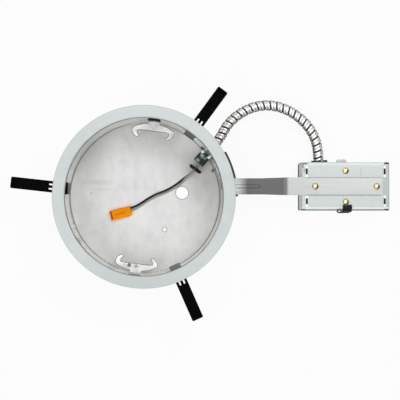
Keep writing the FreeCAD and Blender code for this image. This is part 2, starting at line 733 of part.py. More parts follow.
def make_arm_bracket():
    body = new_body("arm_bracket")
    inner_bend = size(1.0)
    profile = [
        (bracket_inner, shelf_z),
        (shelf_radius, shelf_z),
        (shelf_radius, shelf_z + d.arm_sheet),
        (bracket_inner + d.arm_sheet + inner_bend, shelf_z + d.arm_sheet, -inner_bend),
        (bracket_inner + d.arm_sheet, shelf_z + d.arm_sheet + inner_bend),
        (bracket_inner + d.arm_sheet, shelf_z + d.shelf_rise),
        (bracket_inner, shelf_z + d.shelf_rise),
    ]
    drawing = new_sketch(body, "bracket_profile", "XZ_Plane", [profile])
    add_turn(body, "Revolution", "bracket", drawing, d.shelf_end - d.shelf_start, middle=True)
    middle = (d.shelf_end + d.shelf_start) / 2
    for index, angle in enumerate(shelf_rivet_angles):
        hole = new_sketch(body, f"rivet_outline_{index}", "YZ_Plane", circles=[
            (0, shelf_z + 0.72 * d.shelf_rise, d.rivet_radius + d.hole_clearance)])
        spin_sketch(hole, angle - middle, wall_outer + 4.0)
        add_extrusion(body, "Pocket", f"rivet_hole_{index}", hole, 6.0)
    holes = [turned_back(arm_rivet_x, d.arm_line_y + side * arm_rivet_spread, middle) for side in (1.0, -1.0)]
    drawing = new_sketch(body, "shelf_holes", "XY_Plane", circles=[
        (x, y, arm_shank + d.hole_clearance) for x, y in holes], offset=shelf_z + 4.0)
    add_extrusion(body, "Pocket", "shelf_holes_cut", drawing, 6.0)
    put(body, turn=middle)


def turned_back(x, y, angle):
    """A point of the housing's frame in the frame of a sub-part turned by an angle."""
    cosine = Size(math.cos(math.radians(angle.number)), f"cos({angle.text})")
    sine = Size(math.sin(math.radians(angle.number)), f"sin({angle.text})")
    return x * cosine + y * sine, y * cosine - x * sine


def make_box_arm():
    """The strap is drawn along +X with its centre line on y = 0."""
    body = new_body("box_arm")
    profile = [
        (arm_root_x, arm_root_z),
        (arm_knee_x, arm_root_z),
        (arm_shoulder_x, box_top_z),
        (arm_end_x, box_top_z),
        (arm_end_x, box_top_z + d.arm_sheet),
        (arm_shoulder_x, box_top_z + d.arm_sheet),
        (arm_knee_x, arm_root_z + d.arm_sheet),
        (arm_root_x, arm_root_z + d.arm_sheet),
    ]
    drawing = new_sketch(body, "arm_profile", "XZ_Plane", [profile])
    add_extrusion(body, "Pad", "arm", drawing, d.arm_width, symmetric=True)

    rise = (rib_end_x - arm_knee_x) * d.arm_root_drop / (arm_shoulder_x - arm_knee_x)
    base = arm_root_z + d.arm_sheet / 2
    crest = arm_root_z + d.arm_sheet + d.rib_height
    rib = [
        (arm_rivet_x + 5.5, base),
        (arm_knee_x, base),
        (rib_end_x, base + rise),
        (rib_end_x, crest + rise),
        (arm_knee_x, crest),
        (arm_rivet_x + 5.5, crest),
    ]
    drawing = new_sketch(body, "rib_profile", "XZ_Plane", [rib])
    add_extrusion(body, "Pad", "rib", drawing, d.rib_width, symmetric=True)
    add_rounding(body, "rib_ends", d.rib_width * 0.45,
                 lambda edge: upright(edge) and abs(edge.CenterOfMass.y) < d.rib_width.number
                 and edge.CenterOfMass.z > arm_root_z.number + d.arm_sheet.number)

    step = (d.arm_width - d.arm_root_width) / 2
    taper_start = (arm_knee_x + arm_shoulder_x) / 2 - 8.0
    for index, side in enumerate((1.0, -1.0)):
        edge, line = side * (d.arm_width / 2), side * (d.arm_width / 2 - step)
        beyond = side * (d.arm_width / 2 + 2.0)
        corners = [
            (arm_root_x - 1.0, line),
            (taper_start, line),
            (arm_shoulder_x, edge),
            (arm_shoulder_x, beyond),
            (arm_root_x - 1.0, beyond),
        ]
        drawing = new_sketch(body, f"taper_outline_{index}", "XY_Plane", [corners],
                             offset=box_top_z + 6.0)
        add_extrusion(body, "Pocket", f"taper_{index}", drawing, 20.0)
    holes = new_sketch(body, "arm_holes", "XY_Plane", circles=[
        (arm_rivet_x, arm_rivet_spread, arm_shank + d.hole_clearance),
        (arm_rivet_x, -arm_rivet_spread, arm_shank + d.hole_clearance),
        (dome_near_x, 0, d.dome_shank + d.hole_clearance),
        (dome_far_x, 0, d.dome_shank + d.hole_clearance),
    ], offset=box_top_z + 6.0)
    add_extrusion(body, "Pocket", "arm_holes_cut", holes, 20.0)
    add_rounding(body, "end_corners", 1.5,
                 lambda edge: upright(edge) and edge.CenterOfMass.x > arm_end_x.number - 0.1)
    put(body, y=d.arm_line_y)


def make_arm_rivets():
    """Two rivets through the strap and the arm bracket's shelf."""
    grip = value(2 * d.arm_sheet)
    shank = value(arm_shank)
    solid = rivet(shank, grip, 3.4, 1.6, 0.05, 1.5 * shank, 0.9)
    spots = [Vector(value(arm_rivet_x), value(d.arm_line_y + side * arm_rivet_spread),
                    value(arm_root_z + d.arm_sheet)) for side in (1.0, -1.0)]
    new_solid("arm_rivets", Part.makeCompound([laid(solid, spot, Vector(0, 0, 1)) for spot in spots]))


# The junction box, drawn from its end beside the can, on its centre line and from its lowest face

hinge_x = d.box_sheet / 2 + 1.1
hinge_z = d.box_bend + d.hinge_radius + 0.4
box_half = d.box_width / 2
dome_spread = (d.arm_width / 2 + box_half) / 2 - d.dome_shift
inner_half = box_half - d.box_sheet


def make_box_body():
    body = new_body("box_body")
    inner_bend = d.box_bend - d.box_sheet
    outer = rectangle(-box_half, box_half, 0, d.box_height, d.box_bend)
    inner = rectangle(-inner_half, inner_half, d.box_sheet, d.box_height - d.box_sheet, inner_bend)
    drawing = new_sketch(body, "box_section", "YZ_Plane", [outer, inner])
    add_extrusion(body, "Pad", "box_folded", drawing, d.box_length)

    half, reach = d.slot_width / 2, d.slot_length / 2
    slots = []
    for x in (d.slot_inset, d.box_length - d.slot_inset):
        for y in (d.slot_spread, -d.slot_spread):
            slots.append(rectangle(x - half, x + half, y - reach, y + reach, half * 0.9))
    top = d.box_height + 1.0
    drawing = new_sketch(body, "latch_slots", "XY_Plane", slots, offset=top)
    add_extrusion(body, "Pocket", "latch_slots_cut", drawing, d.box_sheet + 2.0)

    shank = d.dome_shank + d.hole_clearance
    drawing = new_sketch(body, "rivet_holes", "XY_Plane", circles=[
        (d.dome_near_inset, 0, shank),
        (d.box_length - d.dome_far_inset, 0, shank),
        (d.dome_mid_inset, dome_spread, shank),
        (d.dome_mid_inset, -dome_spread, shank),
    ], offset=top)
    add_extrusion(body, "Pocket", "rivet_holes_cut", drawing, d.box_sheet + 2.0)

    drawing = new_sketch(body, "entry_outline", "XZ_Plane",
                         circles=[(d.box_entry_inset, d.box_entry_height,
                                   d.neck_radius + 2 * d.hole_clearance)],
                         offset=-(box_half + 1.0))
    add_extrusion(body, "Pocket", "entry_cut", drawing, d.box_sheet + 2.0, backwards=True)
    drawing = new_sketch(body, "clamp_slot", "XZ_Plane",
                         [rectangle(clamp_x - clamp_half - 0.4, clamp_x + clamp_half + 0.4,
                                    clamp_height - 0.4, clamp_height + clamp_sheet + 0.4)],
                         offset=-(box_half + 1.0))
    add_extrusion(body, "Pocket", "clamp_slot_cut", drawing, d.box_sheet + 2.0, backwards=True)

    pips = [(x, hinge_z, d.hinge_radius + d.pin_clearance)
            for x in (hinge_x, d.box_length - hinge_x)]
    drawing = new_sketch(body, "hinge_holes", "XZ_Plane", circles=pips)
    add_extrusion(body, "Pocket", "hinge_holes_cut", drawing, d.box_width + 2.0, symmetric=True)

    far_ring = d.box_length - 30.2
    for index, (x, y_side) in enumerate(((size(32.0), -1), (far_ring, -1), (far_ring, 1))):
        name = f"knockout_{index}"
        drawing = new_sketch(body, f"{name}_outline", "XZ_Plane",
                             circles=[(x, d.box_height / 2, 10.9), (x, d.box_height / 2, 10.4)],
                             offset=-y_side * (box_half + 0.5))
        add_extrusion(body, "Pocket", name, drawing, 1.0, backwards=y_side > 0)
    put(body, x=box_start_x, y=d.arm_line_y, z=-d.can_depth)


door_half = inner_half - d.door_gap
clamp_x = d.dome_mid_inset - 5.0
clamp_half = size(7.2)
clamp_height = d.box_height - d.box_bend - 2.2
clamp_sheet = size(1.0)


def make_box_door(label, far):
    """A pressed door. It turns on two pips near its foot, and two short flanges stiffen its top."""
    body = new_body(label)
    low = d.box_sheet + d.door_gap
    high = d.box_height - d.box_sheet - d.door_gap
    half_sheet = d.box_sheet / 2
    corner = d.box_bend - d.box_sheet
    outline = rectangle(-door_half, door_half, low, high, corner)
    drawing = new_sketch(body, "door_outline", "YZ_Plane", [outline], offset=hinge_x - half_sheet)
    add_extrusion(body, "Pad", "door_sheet", drawing, d.box_sheet)
    bead = new_sketch(body, "bead_profile", "XZ_Plane", circles=[(hinge_x, hinge_z, d.hinge_radius)])
    add_extrusion(body, "Pad", "bead", bead, d.box_width - 0.4, symmetric=True)
    panel = new_sketch(body, "panel_outline", "YZ_Plane",
                       [rectangle(7.0 - door_half, door_half - 7.0, low + 8.0, high - 8.0, size(3.0))],
                       offset=hinge_x)
    add_extrusion(body, "Pad", "panel", panel, half_sheet + 0.6)
    tabs = []
    for y in (d.slot_spread, -d.slot_spread):
        tabs.append(rectangle(hinge_x, d.slot_inset - d.slot_width / 2 - 0.3, y - 4.0, y + 4.0, size(0.6)))
    drawing = new_sketch(body, "top_flanges", "XY_Plane", tabs, offset=high - 0.5)
    add_extrusion(body, "Pad", "flanges", drawing, 1.0, backwards=True)
    if far:
        put(body, x=box_end_x, y=d.arm_line_y, z=-d.can_depth, turn=size(180.0))
    else:
        put(body, x=box_start_x, y=d.arm_line_y, z=-d.can_depth)


def make_dome_rivets():
    """Brass dome rivets: two through the strap, two that hold the clamp and the clip."""
    shank, head, height = (value(item) for item in (d.dome_shank, d.dome_radius, d.dome_height))
    top = value(box_top_z)
    line = value(d.arm_line_y)
    strap = value(d.arm_sheet)
    wall = value(d.box_sheet)
    through_strap = rivet(shank, wall + strap, head, height, 0.0, 1.5 * shank, 1.4)
    new_solid("arm_dome_rivets", Part.makeCompound([
        laid(through_strap, Vector(value(x), line, top + strap), Vector(0, 0, 1))
        for x in (dome_near_x, dome_far_x)]))
    through_clamp = rivet(shank, wall + value(clamp_sheet), head, height, 0.0, 1.5 * shank, 1.4)
    new_solid("clamp_dome_rivets", Part.makeCompound([
        laid(through_clamp, Vector(value(dome_mid_x), line + side * value(dome_spread), top),
             Vector(0, 0, 1))
        for side in (1, -1)]))


def make_cable_clamp():
    """Spring steel under the box top. It slopes down and its nose shows through the box's side."""
    body = new_body("cable_clamp")
    under = d.box_height - d.box_sheet
    nose = box_half + 4.2
    foot = dome_spread - 7.0
    knee = dome_spread + 5.0
    profile = [
        (foot, under - clamp_sheet),
        (knee, under - clamp_sheet),
        (inner_half - 2.5, clamp_height),
        (nose, clamp_height),
        (nose, clamp_height + clamp_sheet),
        (inner_half - 2.5, clamp_height + clamp_sheet),
        (knee, under),
        (foot, under),
    ]
    drawing = new_sketch(body, "clamp_profile", "YZ_Plane", [profile], offset=clamp_x - clamp_half)
    add_extrusion(body, "Pad", "clamp", drawing, 2 * clamp_half)
    hole = new_sketch(body, "clamp_hole", "XY_Plane", circles=[
        (d.dome_mid_inset, dome_spread, d.dome_shank + d.hole_clearance)], offset=under + 1.0)
    add_extrusion(body, "Pocket", "clamp_hole_cut", hole, 4.0)
    add_rounding(body, "nose_corners", 2.4,
                 lambda edge: upright(edge) and edge.CenterOfMass.y > nose.number - 0.1)
    put(body, x=box_start_x, y=d.arm_line_y, z=-d.can_depth)


cord_clip_x = d.dome_mid_inset + 2.2
cord_clip_half = size(6.35)


def make_cord_clip():
    """Black plastic clip that wraps the box's rounded edge, hollowed beside the fourth dome rivet."""
    body = new_body("cord_clip")
    gap, wall, bend = size(0.1), size(2.2), d.box_bend
    top, side = d.box_height + gap, -(box_half + gap)
    start = -(dome_spread + 4.0)
    foot = d.box_height - 24.0
    profile = [
        (start, top + wall),
        (bend - box_half, top + wall, bend + gap + wall),
        (side - wall, d.box_height - bend),
        (side - wall, foot),
        (side, foot),
        (side, d.box_height - bend, -(bend + gap)),
        (bend - box_half, top),
        (start, top),
    ]
    drawing = new_sketch(body, "clip_profile", "YZ_Plane", [profile], offset=cord_clip_x - cord_clip_half)
    add_extrusion(body, "Pad", "clip", drawing, 2 * cord_clip_half)
    ribs = [rectangle(side - wall - 1.2, side - wall + 0.5, foot + 3.0 * step, foot + 3.0 * step + 1.2)
            for step in (0.5, 1.5, 2.5, 3.5)]
    drawing = new_sketch(body, "clip_ribs", "YZ_Plane", ribs, offset=cord_clip_x - 5.0)
    add_extrusion(body, "Pad", "ribs", drawing, 10.0)
    hollow = new_sketch(body, "rivet_hollow", "XY_Plane", circles=[
        (d.dome_mid_inset, -dome_spread, d.dome_radius + 0.3)], offset=top + wall + 1.0)
    add_extrusion(body, "Pocket", "rivet_hollow_cut", hollow, wall + 2.0)
    put(body, x=box_start_x, y=d.arm_line_y, z=-d.can_depth)


def make_cord_clip_ring():
    """An oval loop on the clip's bend, leaning at 45 degrees like the surface under it."""
    wire, half_length, half_width = 0.9, 4.9, 2.9
    bend = value(d.box_bend)
    reach = (bend + 0.1 + 2.2 + wire + 0.1) * math.sqrt(0.5)
    centre = Vector(value(box_start_x + cord_clip_x) - 9.7,
                    value(d.arm_line_y - box_half) + bend - reach, value(box_top_z) - bend + reach)
    oval = Part.Ellipse(Vector(), half_length, half_width).toShape()
    section = Part.Wire(Part.Circle(Vector(half_length, 0, 0), Vector(0, 1, 0), wire).toShape())
    shape = Part.Wire(oval).makePipeShell([section], True, True)
    shape.Placement = Placement(centre, Rotation(Vector(1, 0, 0), 45))
    new_solid("cord_clip_ring", shape)


# Conduit and its connectors

def world_entry(x, across, z):
    """A point given along and across the conduit entry's axis, in the housing's frame."""
    turned = Rotation(Vector(0, 0, 1), value(d.entry_angle))
    return turned.multVec(Vector(value(x), value(d.entry_offset) + across, z))


def run_and_arc_path(label, points):
    """Straight runs joined by tangent arcs, each as large as its two runs allow."""
    edges = []
    radii = []
    last = points[0]
    for before, corner, after in zip(points, points[1:], points[2:]):
        arrive, leave = corner - before, after - corner
        turn = arrive.getAngle(leave)
        shorter = min(arrive.Length, leave.Length)
        radius = 0.45 * shorter / math.tan(turn / 2)
        back = 0.45 * shorter
        first = corner - arrive.normalize() * back
        final = corner + leave.normalize() * back
        inward = (leave - arrive).normalize()
        middle = corner + inward * (radius / math.cos(turn / 2) - radius)
        edges.append(Part.LineSegment(last, first).toShape())
        edges.append(Part.Arc(first, middle, final).toShape())
        radii.append(round(radius, 1))
        last = final
    edges.append(Part.LineSegment(last, points[-1]).toShape())
    print(label, "arc radii in mm:", radii)
    return Part.Wire(edges)


def tube(label, path, radius):
    """A round rod along a path, with its volume compared with section times length."""
    start = path.Edges[0]
    direction = start.tangentAt(start.FirstParameter)
    circle = Part.Circle(start.valueAt(start.FirstParameter), direction, radius).toShape()
    shape = path.makePipeShell([Part.Wire(circle)], True, True)
    expected = math.pi * radius ** 2 * path.Length
    print(label, "length in mm:", round(path.Length, 1), "volume ratio:", round(shape.Volume / expected, 4))
    return shape


def carried(route, start, end):
    """A typed route, shifted along its way so that its ends land on start and end."""
    points = [Vector(*point) for point in route]
    shifts = start - points[0], end - points[-1]
    last = len(points) - 1
    return [point + shifts[0] * (1 - index / last) + shifts[1] * (index / last)
            for index, point in enumerate(points)]


CONDUIT_ROUTE = [
    (107.4, 83.2, -82.0), (118.0, 104.5, -81.8), (136.0, 121.0, -81.5), (158.5, 131.5, -81.2),
    (183.0, 133.5, -81.0), (207.5, 126.0, -80.8), (228.5, 111.0, -80.5), (243.4, 91.5, -80.2),
    (250.3, 68.0, -80.0),
]


def conduit_points():
    can_z = value(entry_z)
    box_x, box_side, box_z = (value(item) for item in (box_entry_x, d.arm_line_y + box_half, box_entry_z))
    points = carried(CONDUIT_ROUTE, world_entry(entry_pad_face + 23.5, 0, can_z),
                     Vector(box_x, box_side + 18.0, box_z))
    return [world_entry(entry_pad_face - 2.0, 0, can_z), *points, Vector(box_x, box_side - 5.0, box_z)]


def along(path, distance):
    """The point and the direction at a distance along a path."""
    for edge in path.Edges:
        if distance <= edge.Length + 1e-9:
            parameter = edge.getParameterByLength(distance)
            return edge.valueAt(parameter), edge.tangentAt(parameter)
        distance -= edge.Length
    edge = path.Edges[-1]
    return edge.valueAt(edge.LastParameter), edge.tangentAt(edge.LastParameter)


def make_conduit():
    """Flexible metal conduit: a core with one raised turn after another."""
    path = run_and_arc_path("conduit", conduit_points())
    core = tube("conduit", path, value(d.conduit_valley))
    crest, valley = value(d.conduit_radius), value(d.conduit_valley)
    pitch = value(d.conduit_pitch)
    count = int(path.Length // pitch)
    spare = (path.Length - count * pitch) / 2
    turns = []
    for index in range(count):
        centre, direction = along(path, spare + (index + 0.5) * pitch)
        width = 0.64 * pitch
        slope = 0.9
        profile = [Vector(0, 0, -width / 2), Vector(valley - 0.4, 0, -width / 2),
                   Vector(crest, 0, slope - width / 2), Vector(crest, 0, width / 2 - slope),
                   Vector(valley - 0.4, 0, width / 2), Vector(0, 0, width / 2)]
        ring = Part.Face(Part.makePolygon(profile + profile[:1])).revolve(Vector(), Vector(0, 0, 1), 360)
        turns.append(laid(ring, centre, direction))
    new_solid("conduit", core.fuse(turns))


def make_can_connector():
    """Cast clamp body inside the can, drawn with the entry's axis on its own X."""
    body = new_body("can_connector")
    seat = entry_pad_face - d.sheet - 0.1
    inner_end = seat - d.connector_length
    half = d.connector_width / 2
    z = entry_z
    drawing = new_sketch(body, "block_outline", "YZ_Plane",
                         [rectangle(d.entry_offset - half, d.entry_offset + half, z - half, z + half,
                                    size(2.0))], offset=inner_end)
    add_extrusion(body, "Pad", "block", drawing, d.connector_length - 3.0)
    drawing = new_sketch(body, "seat_outline", "YZ_Plane",
                         circles=[(d.entry_offset, z, d.neck_radius + 2.6)], offset=seat)
    add_extrusion(body, "Pad", "seat", drawing, 3.2, backwards=True)
    drawing = new_sketch(body, "neck_outline", "YZ_Plane",
                         circles=[(d.entry_offset, z, d.neck_radius)], offset=seat - 0.5)
    add_extrusion(body, "Pad", "neck", drawing, 5.6)
    drawing = new_sketch(body, "bore_outline", "YZ_Plane",
                         circles=[(d.entry_offset, z, 5.6)], offset=inner_end - 1.0)
    add_extrusion(body, "Pocket", "bore", drawing, 40.0, backwards=True)
    drawing = new_sketch(body, "conduit_seat", "YZ_Plane",
                         circles=[(d.entry_offset, z, d.conduit_radius + d.conduit_fit)],
                         offset=seat - 2.0)
    add_extrusion(body, "Pocket", "conduit_bore", drawing, 20.0, backwards=True)
    waist = [rectangle(inner_end + 4.0, seat - 6.5, d.entry_offset - half + 3.4,
                       d.entry_offset + half - 3.4, size(1.0))]
    drawing = new_sketch(body, "clamp_recess", "XY_Plane", waist, offset=z + half + 1.0)
    add_extrusion(body, "Pocket", "recess", drawing, 2.0)
    screws = [(connector_screw_x(), d.entry_offset + side * 6.0, 1.35) for side in (1.0, -1.0)]
    drawing = new_sketch(body, "screw_holes", "XY_Plane", circles=screws, offset=z + half + 1.0)
    add_extrusion(body, "Pocket", "screw_holes_cut", drawing, 5.0)
    put(body, turn=d.entry_angle)


def connector_screw_x():
    return entry_pad_face - d.sheet - 5.7


def make_connector_screws():
    """Two pan head screws in the top of the clamp body."""
    solids = []
    top = value(entry_z + d.connector_width / 2)
    for side in (1, -1):
        head = Part.makeCylinder(2.1, 1.3, Vector(0, 0, 0.05))
        shank = Part.makeCylinder(1.25, 3.6, Vector(0, 0, -3.5))
        slot = Part.makeBox(5.0, 0.6, 0.6, Vector(-2.5, -0.3, 0.9))
        screw = head.fuse(shank).cut(slot)
        screw.translate(world_entry(connector_screw_x(), side * 6.0, top))
        solids.append(screw)
    new_solid("connector_screws", Part.makeCompound(solids))


def lock_nut(inner, outer, thickness):
    """A stamped locknut along +Z with six lugs."""
    ring = Part.makeCylinder(outer - 1.6, thickness)
    lugs = []
    for index in range(6):
        lug = Part.makeBox(outer, 4.4, thickness, Vector(0, -2.2, 0))
        lug.rotate(Vector(), Vector(0, 0, 1), 60.0 * index)
        lugs.append(lug)
    rim = Part.makeCylinder(outer, thickness)
    return ring.fuse(lugs).common(rim).cut(Part.makeCylinder(inner, thickness)).removeSplitter()


def make_lock_nuts():
    """One outside the can wall on the can connector, one inside the box on the box connector."""
    inner = value(d.neck_radius + d.hole_clearance)
    nut = lock_nut(inner, inner + 4.0, 2.6)
    spot = world_entry(entry_pad_face + 0.1, 0, value(entry_z))
    axis = polar(1.0, value(d.entry_angle))
    new_solid("can_locknut", laid(nut, spot, axis))
    inside = value(d.arm_line_y + inner_half) - 0.1
    spot = Vector(value(box_entry_x), inside, value(box_entry_z))
    new_solid("box_locknut", laid(nut, spot, Vector(0, -1, 0)))


def make_box_connector():
    """Flange outside the box, neck through its wall."""
    body = new_body("box_connector")
    outside = box_half + 0.1
    drawing = new_sketch(body, "flange_outline", "XZ_Plane", circles=[(0, 0, 10.6)], offset=-outside)
    add_extrusion(body, "Pad", "flange", drawing, 2.6, backwards=True)
    drawing = new_sketch(body, "neck_outline", "XZ_Plane", circles=[(0, 0, d.neck_radius)],
                         offset=-(outside + 0.5))
    add_extrusion(body, "Pad", "neck", drawing, 7.6)
    for name, radius, depth in (("conduit_seat", d.conduit_radius + d.conduit_fit, size(5.4)),
                                ("throat", d.conduit_radius - 1.1, size(12.0))):
        drawing = new_sketch(body, f"{name}_outline", "XZ_Plane", circles=[(0, 0, radius)],
                             offset=depth - outside)
        add_extrusion(body, "Pocket", name, drawing, 20.0)
    drawing = new_sketch(body, "lug_outline", "XZ_Plane",
                         [rectangle(size(7.5), size(12.6), -size(2.5), size(2.5), size(1.0))],
                         offset=-(outside + 0.6))
    add_extrusion(body, "Pad", "lug", drawing, 3.2, backwards=True)
    put(body, x=box_entry_x, y=d.arm_line_y, z=box_entry_z)


# The lead: two wires, the bushing they hang in, and the plug on the closed end

# Routes with heights above a wire that lies on the closed end. The third and the second point hold the bushing.
LEAD_ROUTES = {
    "lead_black": [
        (79.45, 52.65, 19.2), (75.9, 45.4, 16.4), (70.0, 37.4, 15.0), (61.0, 31.2, 5.6),
        (54.5, 26.6, 1.2), (47.9, 21.0, 0.0), (38.7, 15.0, 0.0), (29.6, 10.1, 0.0),
        (18.7, 6.4, 0.0), (7.7, 0.9, 0.0), (-4.4, -7.0, 0.2), (-13.9, -13.0, 3.1),
    ],
    "lead_white": [
        (79.45, 52.65, 22.4), (75.6, 45.0, 19.6), (69.7, 37.0, 18.2), (60.3, 30.0, 8.4),
        (54.3, 22.6, 1.8), (47.9, 16.6, 0.0), (33.6, 8.5, 0.0), (20.5, 3.6, 0.0),
        (9.0, -1.9, 0.0), (-2.6, -9.4, 0.1), (-13.1, -16.3, 3.1),
    ],
}
lead_starts = {"lead_black": -1.6, "lead_white": 1.6}
plug_wire_places = {"lead_black": 3.8, "lead_white": 0.4}


def plug_point(along, across):
    """A point at half the plug's height, given along and across its axis from its middle."""
    turned = Rotation(Vector(0, 0, 1), value(d.plug_angle))
    centre = Vector(value(d.plug_x), value(d.plug_y), value(floor_inside + d.plug_height / 2))
    return centre + turned.multVec(Vector(along, across, 0))


def lead_points(label):
    lying = Vector(0, 0, value(floor_inside + d.wire_radius))
    half_length = value(d.plug_length) / 2
    across = plug_wire_places[label]
    start = world_entry(entry_pad_face - 17.9, 0, value(entry_z) + lead_starts[label])
    free = plug_point(half_length + 7.65, across)
    points = [point + lying for point in carried(LEAD_ROUTES[label], start - lying, free - lying)]
    return points + [plug_point(half_length - 2.85, across)]


def make_lead():
    for label in LEAD_ROUTES:
        path = run_and_arc_path(label, lead_points(label))
        new_solid(label, tube(label, path, value(d.wire_radius)))


def make_lead_bushing():
    """A stout ring round both wires, where they hang out of the clamp body."""
    black, white = (lead_points(label) for label in LEAD_ROUTES)
    before, after = ((black[index] + white[index]) / 2 for index in (1, 2))
    axis = (after - before).normalize()
    hole = value(d.wire_radius) + black[1].distanceToPoint(white[1]) / 2 + 0.1
    thickness = 4.0
    ring = Part.makeCylinder(10.2, thickness).cut(Part.makeCylinder(hole, thickness))
    ring = ring.makeChamfer(0.9, [edge for edge in ring.Edges if edge.Curve.TypeId == "Part::GeomCircle"])
    new_solid("lead_bushing", laid(ring, (before + after) / 2 - axis * thickness / 2, axis))


def make_plug():
    """Orange plug body with a ridge along its top, and three notches for the red ports in its end."""
    body = new_body("plug_body")
    half_length, half_width = d.plug_length / 2, d.plug_width / 2
    drawing = new_sketch(body, "plug_outline", "XY_Plane",
                         [rectangle(-half_length, half_length, -half_width, half_width, size(1.4))])
    add_extrusion(body, "Pad", "plug", drawing, d.plug_height)
    add_rounding(body, "plug_edges", 0.8, lambda edge: edge.CenterOfMass.z > d.plug_height.number - 0.01)
    drawing = new_sketch(body, "ridge_outline", "XY_Plane",
                         [rectangle(3.0 - half_length, half_length - 2.5, -size(1.3), size(1.3), size(0.6))],
                         offset=d.plug_height - 0.5)
    add_extrusion(body, "Pad", "ridge", drawing, 1.6)
    notch_half = plug_port_radius + 0.15
    notches = [rectangle(-half_length - 1.0, 3.2 - half_length, y - notch_half, y + notch_half)
               for y in plug_port_places()]
    drawing = new_sketch(body, "end_notches", "XY_Plane", notches, offset=d.plug_height + 1.0)
    add_extrusion(body, "Pocket", "notches", drawing, d.plug_height / 2 + 1.0)
    ports = [(y, d.plug_height / 2, plug_port_radius + 0.1) for y in plug_port_places()]
    drawing = new_sketch(body, "port_outlines", "YZ_Plane", circles=ports, offset=-half_length - 1.0)
    add_extrusion(body, "Pocket", "ports", drawing, 9.0, backwards=True)
    grooves = [rectangle(x, x + 1.0, -half_width - 1.0, 0.5 - half_width) for x in (size(4.0), size(7.0))]
    grooves += [rectangle(x, x + 1.0, half_width - 0.5, half_width + 1.0) for x in (size(4.0), size(7.0))]
    drawing = new_sketch(body, "grip_outlines", "XY_Plane", grooves, offset=d.plug_height + 1.0)
    add_extrusion(body, "Pocket", "grip", drawing, d.plug_height + 2.0)
    wires = [(size(y), d.plug_height / 2, d.wire_radius + 0.1) for y in plug_wire_places.values()]
    drawing = new_sketch(body, "wire_holes", "YZ_Plane", circles=wires, offset=half_length - 5.0)
    add_extrusion(body, "Pocket", "wire_holes_cut", drawing, 9.0, backwards=True)
    put(body, x=d.plug_x, y=d.plug_y, z=floor_inside, turn=d.plug_angle)


plug_port_radius = size(1.55)


def plug_port_places():
    return [size(offset) for offset in (-4.1, 0.0, 4.1)]


def make_plug_ports():
    end = -value(d.plug_length) / 2
    solids = []
    for offset in plug_port_places():
        spot = plug_point(end + 0.3, value(offset))
        ring = Part.makeCylinder(value(plug_port_radius), 7.4).cut(Part.makeCylinder(0.9, 5.0))
        solids.append(laid(ring, spot, polar(1.0, value(d.plug_angle))))
    new_solid("plug_ports", Part.makeCompound(solids))


# Inside the box: push-in wire connectors, the wires from the conduit, the ground screw

splice_size = Vector(19.0, 12.0, 7.0)
splice_spots = [(40.4, -9.5), (40.4, -22.0), (68.4, 6.5)]


def box_point(x, y, z):
    """A point given from the box's near end, its centre line and its lowest face."""
    return Vector(value(box_start_x + x), value(d.arm_line_y + y), value(z - d.can_depth))


def make_box_inside():
    floor = d.box_sheet
    for index, (x, y) in enumerate(splice_spots, start=1):
        corner = box_point(x, y, floor)
        block = Part.makeBox(splice_size.x, splice_size.y, splice_size.z, corner)
        block = block.makeFillet(1.2, [edge for edge in block.Edges if upright(edge)])
        for step in (1, 2, 3):
            mouth = corner + Vector(-1.0, 3.0 * step, splice_size.z / 2)
            block = block.cut(Part.makeCylinder(value(d.wire_radius) + 0.2, 8.0, mouth, Vector(1, 0, 0)))
        new_solid(f"wire_connector_{index}", block)
    mid = floor + splice_size.z / 2
    x, z = d.box_entry_inset, d.box_entry_height
    start = box_half - 6.0
    routes = {
        "box_wire_black": [(x, start, z + 3.6), (x, start - 11.0, z + 2.2), (x - 3.0, 8.5, 17.0),
                           (x - 0.3, 1.0, 8.0), (32.4, -3.1, mid), (42.4, -3.5, mid)],
        "box_wire_white": [(x - 3.4, start, z - 2.0), (x - 5.0, start - 12.0, z - 4.0),
                           (x - 9.0, 2.5, 11.0), (x - 7.5, -9.5, 5.0), (31.9, -16.1, mid),
                           (42.4, -16.0, mid)],
        "box_wire_green": [(x + 3.4, start, z - 2.0), (x + 6.0, start - 11.0, z - 4.0),
                           (x + 18.0, 12.0, 13.0), (58.4, 12.1, mid), (70.4, 12.5, mid)],
    }
    for label, route in routes.items():
        path = run_and_arc_path(label, [box_point(*point) for point in route])
        new_solid(label, tube(label, path, value(d.wire_radius)))
    screw = Part.makeCylinder(4.2, 2.4).cut(Part.makeBox(9.0, 1.2, 1.2, Vector(-4.5, -0.6, 1.2)))
    screw.translate(box_point(d.box_length - 25.8, -18.0, floor + 0.05))
    new_solid("ground_screw", screw)


def make_receiver_screw():
    """Small dark screw in the lower receiver's bow."""
    turned = Rotation(Vector(0, 0, 1), value(d.receiver_angle) + 180)
    spot = turned.multVec(Vector(value(receiver_front) + 2.9, -9.8, value(d.receiver_top)))
    head = Part.makeCylinder(2.5, 1.2, Vector(0, 0, 0.05))
    shank = Part.makeCylinder(1.4, 5.0, Vector(0, 0, -4.9))
    screw = head.fuse(shank).cut(Part.makeBox(6.0, 0.7, 0.6, Vector(-3.0, -0.35, 0.8)))
    screw.translate(spot)
    new_solid("receiver_screw", screw)


